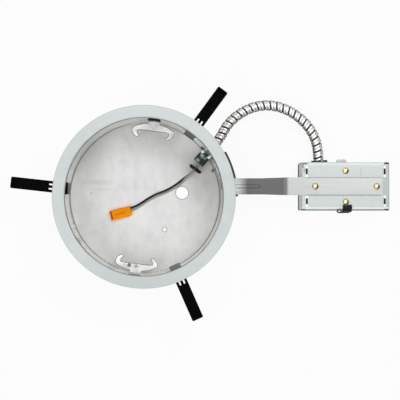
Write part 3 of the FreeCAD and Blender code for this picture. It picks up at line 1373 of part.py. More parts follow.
make_flange_ring()
make_can_wall()
make_closed_end()
make_receiver("receiver_upper", d.receiver_angle, size(-47.5), False)
make_receiver("receiver_lower", d.receiver_angle + 180.0, size(-11.0), True)
make_receiver_screw()
for name, turn in (("upper", 0), ("left", 120), ("lower", 240)):
    make_clip(f"remodel_clip_{name}", d.clip_angle + turn)
    make_clip_bracket(f"clip_bracket_{name}", d.clip_angle + turn)
    make_clip_pin(f"clip_pin_{name}", d.clip_angle + turn)
make_wall_rivets()
make_arm_bracket()
make_box_arm()
make_arm_rivets()
make_box_body()
make_box_door("box_door_near", False)
make_box_door("box_door_far", True)
make_dome_rivets()
make_cable_clamp()
make_cord_clip()
make_cord_clip_ring()
make_conduit()
make_can_connector()
make_connector_screws()
make_lock_nuts()
make_box_connector()
make_lead()
make_lead_bushing()
make_plug()
make_plug_ports()
make_box_inside()

document.recompute()
faults = [item.Name for item in document.Objects if "Invalid" in item.State or "Error" in item.State]
for item in subparts:
    if item.Shape.isNull() or not item.Shape.isValid():
        faults.append(item.Label)
if faults:
    raise RuntimeError(f"not built: {faults}")

os.makedirs("parts", exist_ok=True)
for item in subparts:
    item.Shape.exportStep(f"parts/{item.Label}.step")
    print(item.Label, len(item.Shape.Solids), round(item.Shape.Volume, 1))
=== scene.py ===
import math

import bmesh
import bpy
from mathutils import Euler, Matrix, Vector


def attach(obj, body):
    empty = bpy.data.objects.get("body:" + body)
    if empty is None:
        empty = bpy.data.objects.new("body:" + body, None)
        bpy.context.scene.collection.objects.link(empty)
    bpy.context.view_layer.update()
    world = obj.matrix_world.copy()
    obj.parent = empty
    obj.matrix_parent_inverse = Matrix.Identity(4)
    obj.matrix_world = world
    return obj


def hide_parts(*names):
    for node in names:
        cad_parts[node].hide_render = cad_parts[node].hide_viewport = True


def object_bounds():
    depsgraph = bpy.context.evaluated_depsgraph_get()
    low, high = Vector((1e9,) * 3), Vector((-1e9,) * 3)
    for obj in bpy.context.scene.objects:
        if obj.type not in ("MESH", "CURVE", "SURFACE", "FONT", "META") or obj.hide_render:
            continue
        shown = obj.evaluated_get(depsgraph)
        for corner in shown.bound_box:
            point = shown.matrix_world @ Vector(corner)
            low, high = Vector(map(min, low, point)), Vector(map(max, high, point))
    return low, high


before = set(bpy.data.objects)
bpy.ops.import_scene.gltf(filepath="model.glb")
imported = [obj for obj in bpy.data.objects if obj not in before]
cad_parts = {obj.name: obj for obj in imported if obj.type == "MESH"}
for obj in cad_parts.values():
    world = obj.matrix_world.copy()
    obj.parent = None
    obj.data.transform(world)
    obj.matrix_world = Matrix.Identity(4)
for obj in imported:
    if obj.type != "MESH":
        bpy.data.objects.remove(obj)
CAD_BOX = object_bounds()

bl_info = {
    "name": "Recessed light housing",
    "version": (1, 0, 0),
    "blender": (4, 5, 0),
    "location": "View3D > Sidebar > Housing",
    "description": "Dresses the downlight housing with its metal finishes, conduit, lead and studio",
    "category": "Object",
}

MM = 0.001


def linear(colour):
    """An sRGB hex colour as linear red, green, blue and alpha."""
    parts = [int(colour[start:start + 2], 16) / 255 for start in (0, 2, 4)]
    return [p / 12.92 if p <= 0.04045 else ((p + 0.055) / 1.055) ** 2.4 for p in parts] + [1.0]


def length_property(name, description, default):
    """A length in metres, with its default given in millimetres."""
    return bpy.props.FloatProperty(
        name=name, description=description, default=default * MM, min=0.0,
        precision=5, unit="LENGTH", subtype="DISTANCE")


def colour_property(name, description, default):
    return bpy.props.FloatVectorProperty(
        name=name, description=description, default=linear(default), size=4,
        min=0.0, max=1.0, subtype="COLOR")


class HousingSizes(bpy.types.PropertyGroup):
    """Sizes of the pieces that are made here."""

    strip_pitch: length_property("Strip pitch", "One turn of the conduit's strip", 9.4)
    strip_crest: length_property("Strip crest", "Radius of the conduit's rounded crests", 7.45)
    strip_valley: length_property("Strip valley", "Radius of the conduit's valleys", 5.9)
    wire: length_property("Wire", "Radius of an insulated fixture wire", 1.4)
    rim: length_property("Rim", "Radius of the coined rim on sheared strip", 0.35)
    floor: length_property("Floor", "Half of the studio floor", 6000.0)
    sensor: length_property("Sensor", "Camera sensor width", 36.0)
    lens: length_property("Lens", "Camera focal length", 97.8)


class HousingColours(bpy.types.PropertyGroup):
    """Base colours of the finishes."""

    galvanised: colour_property("Galvanised sheet", "Flange and junction box", "D0D7D6")
    rolled: colour_property("Rolled sheet", "Can wall", "FAF9F4")
    pressed: colour_property("Pressed sheet", "Closed end of the can", "E0E1E1")
    plated: colour_property("Zinc plate", "Brackets, clamps, rivets and screws", "F2F4F3")
    oxide: colour_property("Black oxide", "Remodel clips and their brackets", "040404")
    strap: colour_property("Drawn strip", "Arm of the junction box", "ADAFAE")
    tempered: colour_property("Tempered steel", "Cable clamp", "BFC2C1")
    # The arm bracket's brown-black is painted shade under the flange.
    bracket_shade: colour_property("Oiled steel", "Arm bracket on the can", "37332C")
    heel: colour_property("Clip heels", "Heels of the clips, rubbed bright", "8F8C85")
    seam: colour_property("Conduit seams", "Dark seams between the turns of the strip", "4A443E")
    # Also paints the dark outlines on the receivers' beads and the shade lines on the arm's rib.
    edge: colour_property("Sheared edges", "Cut edges of plated strip", "4E5250")
    strip: colour_property("Conduit strip", "Flexible metal conduit", "EDECEA")
    cast: colour_property("Cast zinc", "Conduit connectors", "2A3835")
    # Also the colour of two painted highlights on the can's connector.
    glint: colour_property("Rubbed zinc", "Rubbed spots of the connectors", "BFE0DC")
    brass: colour_property("Brass", "Dome rivets", "E0CC98")
    nylon: colour_property("Black nylon", "Bushing, cord clip and its ring", "0B0B0B")
    black_wire: colour_property("Black insulation", "Black fixture wire", "090908")
    white_wire: colour_property("White insulation", "White fixture wire", "A9A797")
    green_wire: colour_property("Green insulation", "Ground wire in the box", "1E7A3C")
    plug: colour_property("Orange nylon", "Plug body", "FFA010")
    ports: colour_property("Red nylon", "Ports of the plug", "FF3A1E")
    clear: colour_property("Clear polycarbonate", "Push-in wire connectors", "E4E2D8")
    floor: colour_property("Studio floor", "Plain pale floor and backdrop", "F6F6F6")


# Materials

def add_node(tree, kind, inputs=None, stops=None, **properties):
    """Adds a shader node with its properties, ascending colour stops, and input values or links."""
    node = tree.nodes.new("ShaderNode" + kind)
    for name, setting in properties.items():
        setattr(node, name, setting)
    if stops:
        elements = node.color_ramp.elements
        elements[1].position, elements[0].position = stops[-1][0], stops[0][0]
        for position, colour in stops[1:-1]:
            elements.new(position)
        for element, (position, colour) in zip(elements, stops):
            element.color = colour
    for name, setting in (inputs or {}).items():
        if isinstance(setting, bpy.types.NodeSocket):
            tree.links.new(setting, node.inputs[name])
        else:
            node.inputs[name].default_value = setting
    return node


def new_material(name, colour, roughness, metallic=0.0, **inputs):
    """A material. Returns it with its tree, its shader and its object coordinates."""
    material = bpy.data.materials.new(name)
    material.use_nodes = True
    material.diffuse_color = colour
    tree = material.node_tree
    shader = tree.nodes["Principled BSDF"]
    shader.inputs["Base Color"].default_value = colour
    shader.inputs["Roughness"].default_value = roughness
    shader.inputs["Metallic"].default_value = metallic
    for socket, setting in inputs.items():
        shader.inputs[socket.replace("_", " ")].default_value = setting
    place = add_node(tree, "TexCoord").outputs["Object"]
    return material, tree, shader, place


def shade(colour, factor):
    """A colour made lighter or darker by a factor."""
    return [min(1.0, channel * factor) for channel in colour[:3]] + [1.0]


def per_mm(size):
    """Texture scale for a feature of this size in millimetres."""
    return 1000.0 / size


def sheet_metal(name, colour, roughness, metallic, spangle, brush, contrast, bump, marks=()):
    """Sheet steel: cloudy zinc patches, fine rolling lines along one axis, scuffs, and its marks."""
    material, tree, shader, place = new_material(name, colour, roughness, metallic)
    stretched = add_node(tree, "Mapping", {"Vector": place, "Scale": brush}).outputs["Vector"]
    clouds = add_node(tree, "TexNoise", {"Vector": place, "Scale": per_mm(spangle), "Detail": 4.0,
                                         "Roughness": 0.55}).outputs["Fac"]
    lines = add_node(tree, "TexNoise", {"Vector": stretched, "Scale": per_mm(3.0), "Detail": 3.0,
                                        "Roughness": 0.6}).outputs["Fac"]
    both = add_node(tree, "Math", {0: clouds, 1: lines}, operation="ADD").outputs["Value"]
    half = add_node(tree, "Math", {0: both, 1: 0.5}, operation="MULTIPLY").outputs["Value"]
    tones = add_node(tree, "ValToRGB", {"Fac": half}, stops=[
        (0.34, shade(colour, 1.0 - contrast)), (0.5, colour),
        (0.66, shade(colour, 1.0 + contrast * 0.6))])
    specks = add_node(tree, "TexNoise", {"Vector": place, "Scale": per_mm(2.4),
                                         "Detail": 2.0}).outputs["Fac"]
    scuffs = add_node(tree, "ValToRGB", {"Fac": specks}, stops=[
        (0.70, (0.0, 0.0, 0.0, 1.0)), (0.78, (1.0, 1.0, 1.0, 1.0))])
    worn = add_node(tree, "MixRGB", {"Fac": scuffs.outputs["Color"], "Color1": tones.outputs["Color"],
                                     "Color2": shade(colour, 0.8)})
    tree.links.new(marked(tree, place, worn.outputs["Color"], marks), shader.inputs["Base Color"])
    rough = add_node(tree, "MapRange", {"Value": half, "To Min": roughness - 0.1,
                                        "To Max": roughness + 0.1})
    tree.links.new(rough.outputs["Result"], shader.inputs["Roughness"])
    relief = add_node(tree, "Bump", {"Height": lines, "Strength": bump, "Distance": 0.00015})
    tree.links.new(relief.outputs["Normal"], shader.inputs["Normal"])
    return material


def marked(tree, place, colours, marks):
    """Colours with marks laid over them, each one a mask and its own colour."""
    for mark, colour in marks:
        colours = add_node(tree, "MixRGB", {"Fac": mark(tree, place), "Color1": colours,
                                            "Color2": colour}).outputs["Color"]
    return colours


def shaded(colour, *rows):
    """Marks from pairs of a mask and the factor that makes the colour lighter or darker there."""
    return [(mask, shade(colour, factor)) for mask, factor in rows]


def ring_mark(centre, inner, outer, low=-1000.0, high=1000.0):
    """A mask round an upright axis, between two radii and two heights in millimetres."""
    def mark(tree, place):
        moved = add_node(tree, "VectorMath", {0: place, 1: (centre[0] * MM, centre[1] * MM, 0.0)},
                         operation="SUBTRACT").outputs["Vector"]
        parts = add_node(tree, "SeparateXYZ", {"Vector": moved}).outputs
        flat = add_node(tree, "CombineXYZ", {"X": parts["X"], "Y": parts["Y"]}).outputs["Vector"]
        reach = add_node(tree, "VectorMath", {0: flat}, operation="LENGTH").outputs["Value"]
        return both_bands(tree, band(tree, reach, inner, outer), band(tree, parts["Z"], low, high))
    return mark


def box_mark(low, high):
    """A mask inside a box given by two corners in millimetres."""
    def mark(tree, place):
        parts = add_node(tree, "SeparateXYZ", {"Vector": place}).outputs
        mask = band(tree, parts["X"], low[0], high[0])
        mask = both_bands(tree, mask, band(tree, parts["Y"], low[1], high[1]))
        return both_bands(tree, mask, band(tree, parts["Z"], low[2], high[2]))
    return mark


def smudge(centre, size, strength):
    """A soft oval mask, strongest at its centre, in millimetres."""
    def mark(tree, place):
        moved = add_node(tree, "VectorMath", {0: place, 1: [value * MM for value in centre]},
                         operation="SUBTRACT").outputs["Vector"]
        scaled = add_node(tree, "VectorMath", {0: moved, 1: [value * MM for value in size]},
                          operation="DIVIDE").outputs["Vector"]
        reach = add_node(tree, "VectorMath", {0: scaled}, operation="LENGTH").outputs["Value"]
        return add_node(tree, "MapRange", {"Value": reach, "To Min": strength, "To Max": 0.0},
                        interpolation_type="SMOOTHSTEP").outputs["Result"]
    return mark


def fade_mark(low, high, levels):
    """A mask that changes along X between two values in millimetres, through (share, level) pairs."""
    def mark(tree, place):
        parts = add_node(tree, "SeparateXYZ", {"Vector": place}).outputs
        share = add_node(tree, "MapRange", {"Value": parts["X"], "From Min": low * MM,
                                            "From Max": high * MM}).outputs["Result"]
        return add_node(tree, "ValToRGB", {"Fac": share}, stops=[
            (position, (level, level, level, 1.0)) for position, level in levels]).outputs["Color"]
    return mark


def facing_mark(direction, low, high, strength=1.0):
    """A mask that grows as the surface turns towards a direction, between two cosines."""
    def mark(tree, place):
        normal = add_node(tree, "NewGeometry").outputs["Normal"]
        turned = add_node(tree, "VectorMath", {0: normal, 1: Vector(direction).normalized()},
                          operation="DOT_PRODUCT").outputs["Value"]
        return add_node(tree, "MapRange", {"Value": turned, "From Min": low, "From Max": high,
                                           "To Max": strength}).outputs["Result"]
    return mark


def band(tree, reading, low, high):
    """One where a reading in metres lies between two values in millimetres."""
    above = add_node(tree, "Math", {0: reading, 1: low * MM}, operation="GREATER_THAN").outputs["Value"]
    below = add_node(tree, "Math", {0: reading, 1: high * MM}, operation="LESS_THAN").outputs["Value"]
    return both_bands(tree, above, below)


def both_bands(tree, first, second):
    """One where both masks are one."""
    return add_node(tree, "Math", {0: first, 1: second}, operation="MULTIPLY").outputs["Value"]


def moulded_plastic(name, colour, roughness, grain=0.6, bump=0.25, variation=0.12, marks=(), **inputs):
    """Moulded plastic: even colour with a fine eroded mould grain, slight flow marks, and its marks."""
    material, tree, shader, place = new_material(name, colour, roughness, 0.0, **inputs)
    flow = add_node(tree, "TexNoise", {"Vector": place, "Scale": per_mm(9.0),
                                       "Detail": 2.0}).outputs["Fac"]
    tones = add_node(tree, "ValToRGB", {"Fac": flow}, stops=[
        (0.3, shade(colour, 1.0 - variation)), (0.7, shade(colour, 1.0 + variation))])
    tree.links.new(marked(tree, place, tones.outputs["Color"], marks), shader.inputs["Base Color"])
    fine = add_node(tree, "TexNoise", {"Vector": place, "Scale": per_mm(grain),
                                       "Detail": 2.0}).outputs["Fac"]
    rough = add_node(tree, "MapRange", {"Value": fine, "To Min": roughness - 0.06,
                                        "To Max": roughness + 0.06})
    tree.links.new(rough.outputs["Result"], shader.inputs["Roughness"])
    relief = add_node(tree, "Bump", {"Height": fine, "Strength": bump, "Distance": 0.0001})
    tree.links.new(relief.outputs["Normal"], shader.inputs["Normal"])
    return material


def smooth_metal(name, colour, roughness, patch, metallic=1.0, marks=()):
    """Small plated pieces: bright metal with soft dull patches, and its marks."""
    material, tree, shader, place = new_material(name, colour, roughness, metallic)
    dull = add_node(tree, "TexNoise", {"Vector": place, "Scale": per_mm(patch),
                                       "Detail": 3.0}).outputs["Fac"]
    tones = add_node(tree, "ValToRGB", {"Fac": dull}, stops=[
        (0.35, shade(colour, 0.78)), (0.65, shade(colour, 1.08))])
    tree.links.new(marked(tree, place, tones.outputs["Color"], marks), shader.inputs["Base Color"])
    rough = add_node(tree, "MapRange", {"Value": dull, "To Min": roughness + 0.12,
                                        "To Max": roughness - 0.06})
    tree.links.new(rough.outputs["Result"], shader.inputs["Roughness"])
    fine = add_node(tree, "TexNoise", {"Vector": place, "Scale": per_mm(0.8),
                                       "Detail": 2.0}).outputs["Fac"]
    relief = add_node(tree, "Bump", {"Height": fine, "Strength": 0.12, "Distance": 0.0001})
    tree.links.new(relief.outputs["Normal"], shader.inputs["Normal"])
    return material


def seen_rays(tree):
    """One for camera, glossy and transmission rays, zero for the light that falls on matte surfaces."""
    rays = add_node(tree, "LightPath").outputs
    seen = add_node(tree, "Math", {0: rays["Is Camera Ray"], 1: rays["Is Glossy Ray"]},
                    operation="MAXIMUM")
    return add_node(tree, "Math", {0: seen.outputs["Value"], 1: rays["Is Transmission Ray"]},
                    operation="MAXIMUM").outputs["Value"]


def cast_metal(name, colour, glint, marks):
    """Cast zinc with a dark passivated skin: near black pits, green-grey faces and pale rubbed spots."""
    material, tree, shader, place = new_material(name, colour, 0.35, 0.5)
    patches = add_node(tree, "TexVoronoi", {"Vector": place, "Scale": per_mm(3.4)}).outputs["Color"]
    shades = add_node(tree, "SeparateColor", {"Color": patches}).outputs["Red"]
    blend = add_node(tree, "TexNoise", {"Vector": place, "Scale": per_mm(1.6),
                                        "Detail": 2.0}).outputs["Fac"]
    mixed = add_node(tree, "Math", {0: shades, 1: blend}, operation="MULTIPLY").outputs["Value"]
    tones = add_node(tree, "ValToRGB", {"Fac": mixed}, stops=[
        (0.1, shade(colour, 0.1)), (0.3, shade(colour, 0.5)), (0.42, shade(colour, 1.2)), (0.58, glint)])
    tree.links.new(marked(tree, place, tones.outputs["Color"], marks), shader.inputs["Base Color"])
    relief = add_node(tree, "Bump", {"Height": blend, "Strength": 0.5, "Distance": 0.0003})
    tree.links.new(relief.outputs["Normal"], shader.inputs["Normal"])
    return material


def clothe(material, *names):
    """Gives CAD nodes a material."""
    for name in names:
        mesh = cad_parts[name].data
        mesh.materials.clear()
        mesh.materials.append(material)


# Mesh helpers

def new_object(name, data, *materials):
    """Puts a mesh, curve, lamp or camera into the scene, with its materials."""
    for material in materials:
        data.materials.append(material)
    item = bpy.data.objects.new(name, data)
    bpy.context.scene.collection.objects.link(item)
    return item


def mesh_from(name, points, faces, smooth=True):
    """A mesh from its points and faces."""
    mesh = bpy.data.meshes.new(name)
    mesh.from_pydata(points, [], faces)
    mesh.validate()
    for face in mesh.polygons:
        face.use_smooth = smooth
    return mesh


def edge_chains(node, wanted):
    """Chains of points along a CAD node's sharp edges for which wanted(edge) holds."""
    sharp = 0.6
    copy = bmesh.new()
    copy.from_mesh(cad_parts[node].data)
    bmesh.ops.remove_doubles(copy, verts=copy.verts, dist=1e-6)
    copy.normal_update()
    copy.edges.index_update()
    left = {edge.index: edge for edge in copy.edges
            if len(edge.link_faces) == 2 and edge.calc_face_angle() > sharp and wanted(edge)}
    chains = []
    while left:
        edge = left.pop(min(left))
        chain = list(edge.verts)
        for end in (-1, 0):
            while True:
                onward = next((item for item in chain[end].link_edges if item.index in left), None)
                if onward is None:
                    break
                del left[onward.index]
                point = onward.other_vert(chain[end])
                chain.insert(len(chain) if end else 0, point)
        chains.append([point.co.copy() for point in chain])
    copy.free()
    return chains


def top_edge(edge):
    """True where a face that looks up meets one that doesn't."""
    return max(face.normal.z for face in edge.link_faces) > 0.95 > min(
        face.normal.z for face in edge.link_faces)


def rib_edge(edge):
    """True for the upper edges of the arm's pressed rib."""
    rib_line, reach, rib_end = 15.5 * MM, 2.4 * MM, 164 * MM
    middle = (edge.verts[0].co + edge.verts[1].co) / 2
    return top_edge(edge) and abs(middle.y - rib_line) < reach and middle.x < rib_end


def rim(name, node, radius, material, wanted, slot):
    """A fine coined bead along a node's sheared edges."""
    curve = bpy.data.curves.new(name, "CURVE")
    curve.dimensions = "3D"
    curve.bevel_depth = radius
    curve.bevel_resolution = 1
    for chain in edge_chains(node, wanted):
        spline = curve.splines.new("POLY")
        spline.points.add(len(chain) - 1)
        for point, place in zip(spline.points, chain):
            point.co = (*place, 1.0)
    item = new_object(name, curve, material)
    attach(item, "housing")
    return item


def spline_object(name, route, bevel=0.0):
    """A smooth NURBS curve through the pull of the CAD route's points, given in millimetres."""
    curve = bpy.data.curves.new(name, "CURVE")
    curve.dimensions = "3D"
    curve.resolution_u = 12
    curve.bevel_depth = bevel
    curve.bevel_resolution = 6
    curve.use_fill_caps = bevel > 0
    spline = curve.splines.new("NURBS")
    spline.points.add(len(route) - 1)
    for point, place in zip(spline.points, route):
        point.co = (*[value * MM for value in place], 1.0)
    spline.order_u = 3
    spline.use_endpoint_u = True
    return new_object(name, curve)


def spline_points(name, route):
    """Points along a route's NURBS curve."""
    guide = spline_object(name, route)
    bpy.context.view_layer.update()
    mesh = bpy.data.meshes.new_from_object(guide)
    points = [vertex.co.copy() for vertex in mesh.vertices]
    curve = guide.data
    bpy.data.objects.remove(guide)
    bpy.data.curves.remove(curve)
    bpy.data.meshes.remove(mesh)
    return points


# Routes repeated from the part's source, in millimetres

CONDUIT_ROUTE = [
    (89.92, 64.19, -82.0), (107.15, 82.99, -82.0), (118.0, 104.5, -81.8), (136.0, 121.0, -81.5),
    (158.5, 131.5, -81.2), (183.0, 133.5, -81.0), (207.5, 126.0, -80.8), (228.5, 111.0, -80.5),
    (243.4, 91.5, -80.2), (250.3, 68.0, -80.0), (250.3, 45.0, -80.0),
]
BLACK_ROUTE = [
    (79.45, 52.65, -83.6), (75.9, 45.4, -86.4), (70.0, 37.4, -87.8), (61.0, 31.2, -97.2),
    (54.5, 26.6, -101.6), (47.9, 21.0, -102.8), (38.7, 15.0, -102.8), (29.6, 10.1, -102.8),
    (18.7, 6.4, -102.8), (7.7, 0.9, -102.8), (-4.4, -7.0, -102.6), (-13.93, -13.05, -99.7),
    (-24.09, -15.73, -99.7),
]
WHITE_ROUTE = [
    (79.45, 52.65, -80.4), (75.6, 45.0, -83.2), (69.7, 37.0, -84.6), (60.3, 30.0, -94.4),
    (54.3, 22.6, -101.0), (47.9, 16.6, -102.8), (33.6, 8.5, -102.8), (20.5, 3.6, -102.8),
    (9.0, -1.9, -102.8), (-2.6, -9.4, -102.7), (-13.06, -16.34, -99.7), (-23.22, -19.02, -99.7),
]

# The strip's height above its valley, from 0 to 1, over one pitch as (share, height) pairs.
STRIP_PROFILE = [
    (0.00, 0.0), (0.05, 0.0), (0.10, 0.5), (0.16, 0.9), (0.26, 1.0), (0.38, 0.97), (0.45, 0.75),
    (0.48, 0.55), (0.52, 0.55), (0.55, 0.75), (0.62, 0.97), (0.76, 1.0), (0.86, 0.9), (0.91, 0.5),
    (0.95, 0.0), (1.00, 0.0),
]


def strip_level(turns):
    """Height of the strip's profile after a number of pitches."""
    phase = turns % 1.0
    for (x0, y0), (x1, y1) in zip(STRIP_PROFILE, STRIP_PROFILE[1:]):
        if x0 <= phase <= x1:
            return y0 + (y1 - y0) * (phase - x0) / (x1 - x0)
    return STRIP_PROFILE[-1][1]


class HousingOperator:
    """What the operators share."""

    bl_options = {"REGISTER", "UNDO"}

    @property
    def sizes(self):
        return bpy.context.scene.housing_sizes

    @property
    def colours(self):
        return bpy.context.scene.housing_colours


class HOUSING_OT_can(HousingOperator, bpy.types.Operator):
    """Finishes the flange, the can wall and the closed end"""

    bl_idname = "housing.can"
    bl_label = "Can and flange"

    def execute(self, context):
        colours = self.colours
        # Galvanised steel sheet, skin passed: matte pale zinc with clouded patches.
        # Painted shade darkens the collar's cut edge, the inside of its bend, the lower side and the
        # outer rim; painted light brightens the upper side.
        flange = sheet_metal("galvanised_steel_skin_passed", colours.galvanised, 0.55, 0.2, 16.0,
                             (1.0, 0.6, 1.0), 0.08, 0.25, shaded(
                                 colours.galvanised,
                                 (ring_mark((0, 0), 0, 109.1, -9.0, -1.1), 0.25),
                                 (smudge((-20, -125, 0), (130, 60, 60), 0.6), 0.84),
                                 (smudge((0, 125, 0), (130, 60, 60), 0.6), 1.08),
                                 (ring_mark((0, 0), 124.6, 126.0), 0.5)))
        # Rolled steel sheet: soft upright reflections, a warmer grey than the flange.
        # Its outside is painted darker; the window's edge, two small slots and a spot by the arm bracket
        # are painted near black as shade, and an oval on the lower left is painted dark grey.
        # Painted shade turns the side towards the conduit olive and, in part, umber.
        olive_shade, umber_shade = linear("A3A190"), linear("6E6A58")
        wall = sheet_metal("rolled_steel_sheet", colours.rolled, 0.2, 0.9, 46.0,
                           (1.0, 1.0, 0.05), 0.04, 0.05,
                           shaded(colours.rolled,
                                  (ring_mark((0, 0), 109.8, 111.0), 0.62),
                                  (box_mark((2, 100, -54), (24, 112, -44.6)), 0.03),
                                  (smudge((-102.5, -36.9, -90), (4, 4, 15), 1.0), 0.02),
                                  (smudge((-90, -61.4, -42), (9, 9, 24), 0.9), 0.15),
                                  (smudge((102.4, 37.6, -83), (4, 4, 14), 1.0), 0.02),
                                  (smudge((108, 15.5, -60), (4, 5, 14), 0.9), 0.05))
                           + [(smudge((112, 12, -50), (75, 75, 200), 0.9), olive_shade),
                              (smudge((112, 30, -50), (30, 30, 200), 0.5), umber_shade)])
        # Pressed steel sheet, dry brushed: mottled streaks across the pan.
        # Painted shade darkens the corner, the band under the upper receiver and the upper right; a
        # painted pool of light brightens the middle; a spot at the wall's foot below a slot is painted
        # black as shade, and both holes have painted dark rims as shade at their edges.
        end = sheet_metal("pressed_steel_brushed", colours.pressed, 0.5, 0.2, 38.0,
                          (0.35, 0.2, 1.0), 0.11, 0.12,
                          shaded(colours.pressed,
                                 (smudge((3, 70, -105), (30, 22, 40), 0.2), 0.7),
                                 (smudge((-80, 66, -105), (46, 60, 60), 0.55), 0.7),
                                 (smudge((-68, 22, -105), (34, 7, 30), 0.5), 0.7),
                                 (smudge((-62, 12, -105), (26, 4, 30), 0.4), 0.7),
                                 (smudge((86, 52, -105), (40, 50, 60), 0.12), 0.66),
                                 (smudge((-60, -58, -105), (12, 44, 60), 0.35), 0.75),
                                 (smudge((-12, 50, -105), (8, 40, 60), 0.3), 0.75),
                                 (smudge((30, 30, -105), (6, 34, 60), 0.25), 0.75),
                                 (smudge((-12, -20, -105), (60, 26, 60), 0.35), 1.2),
                                 (ring_mark((-78, 6.2), 0, 1.1), 0.6),
                                 (smudge((99.0, 39.5, -104), (3.5, 5, 8), 1.0), 0.03),
                                 (ring_mark((-1.4, 0), 109.2, 112.0), 0.4),
                                 (ring_mark((1.4, 0), 109.2, 112.0), 0.4),
                                 (ring_mark((0, 0), 110.7, 112.0), 0.8),
                                 (ring_mark((54.0, 7.0), 0, 9.9), 0.3),
                                 (ring_mark((28.5, -46.5), 0, 3.8), 0.35)))
        clothe(flange, "flange_ring")
        clothe(wall, "can_wall")
        clothe(end, "closed_end")
        self.add_window_shade_tape()
        return {"FINISHED"}

    def add_window_shade_tape(self):
        """A black sheet over the upper receiver's window, on the outside of the can wall: painted shade
        for the dark seen through the window.
        """
        # Black cloth, woven: dull, with a fine thread grain; it stands in for the shade behind the
        # window.
        shade_cloth = moulded_plastic("black_cloth_shade_sheet", self.colours.oxide, 0.8, grain=0.9, bump=0.6,
                               Specular_IOR_Level=0.05)
        columns, rows = 14, 20
        middle, half_angle = 82.8, 6.4
        bottom, length = -48.5, 42.5
        inside, outside = 109.98, 110.25
        points, faces = [], []
        for radius in (inside, outside):
            for row in range(rows + 1):
                ragged = (0.25 * math.sin(2.1 * row) + 0.2 * math.sin(3.7 * row)) / 2
                for column in range(columns + 1):
                    half = half_angle + (ragged if column in (0, columns) else 0.0)
                    angle = math.radians(middle + half * (2 * column / columns - 1))
                    place = (radius * math.cos(angle), radius * math.sin(angle),
                             bottom + length * row / rows)
                    points.append([value * MM for value in place])
        wide = columns + 1
        layer = wide * (rows + 1)
        for row in range(rows):
            for column in range(columns):
                first = row * wide + column
                square = (first, first + 1, first + 1 + wide, first + wide)
                faces.append(tuple(reversed(square)))
                faces.append(tuple(layer + corner for corner in square))
        # The rim between the two layers: along the bottom, up, back along the top, and down.
        loop = list(range(wide)) + [wide * row + columns for row in range(1, rows + 1)]
        loop += [wide * rows + column for column in range(columns - 1, -1, -1)]
        loop += [wide * row for row in range(rows - 1, 0, -1)]
        for first, second in zip(loop, loop[1:] + loop[:1]):
            faces.append((first, second, layer + second, layer + first))
        item = new_object("window_shade_tape", mesh_from("window_shade_tape", points, faces, smooth=False), shade_cloth)
        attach(item, "housing")


class HOUSING_OT_brackets(HousingOperator, bpy.types.Operator):
    """Finishes the spring receivers, the clips, their brackets and the small fasteners"""

    bl_idname = "housing.brackets"
    bl_label = "Clips and brackets"

    def execute(self, context):
        colours = self.colours
        # Spring steel, black oxide: almost black with a faint oily gloss.
        # The heels inside the can are rubbed grey; the left one's outer half is painted black again as
        # the shade in its window.
        oxide = moulded_plastic(
            "spring_steel_black_oxide", colours.oxide, 0.45, grain=0.9, bump=0.2, variation=0.3,
            Specular_IOR_Level=0.02,
            marks=[(ring_mark((0, 0), 0, 109.3), colours.heel),
                   (box_mark((-112, -10, -40), (-105.2, 40, 0)), shade(colours.heel, 0.02))])
        # Mild steel, zinc plated: bright pale plate with soft dull patches.
        plated = smooth_metal("mild_steel_zinc_plated", colours.plated, 0.4, 9.0, 0.4)
        # Mild steel strip, zinc plated: the receivers, with painted shade underneath and at the lower
        # one's root, and painted near black where the upper one meets its window.
        receiver = smooth_metal("mild_steel_zinc_plated_strip", colours.plated, 0.4, 9.0, 0.4, shaded(
            colours.plated,
            (box_mark((2, 100, -49), (24, 112, -44)), 0.03),
            (smudge((5, -106, -50), (14, 4, 60), 0.9), 0.45),
            (facing_mark((0, 0, -1), -0.8, -0.3, 0.7), 0.4)))
        clothe(receiver, "receiver_upper", "receiver_lower")
        for name in ("upper", "left", "lower"):
            clothe(oxide, f"remodel_clip_{name}", f"clip_bracket_{name}")
            clothe(plated, f"clip_pin_{name}")
        clothe(plated, "clip_rivets", "receiver_rivets",
               "arm_bracket_rivets", "arm_rivets", "connector_screws",
               "can_locknut", "box_locknut", "ground_screw")
        clothe(oxide, "receiver_screw")
        # Mild steel, dull and dark, for the beads along the receivers' edges: a painted dark outline on
        # top of the beads' own shading.
        outline_steel = smooth_metal("mild_steel_dark_outline", colours.edge, 0.5, 3.0, 0.3)
        for side in ("upper", "lower"):
            rim(f"receiver_rim_{side}", f"receiver_{side}", self.sizes.rim, outline_steel, top_edge,
                "bright_steel")
        # Mild steel, brown-black: painted shade under the flange; its cut edge shows beside the flange.
        clothe(smooth_metal("mild_steel_shaded_dark", colours.bracket_shade, 0.5, 3.0, 0.4), "arm_bracket")
        return {"FINISHED"}


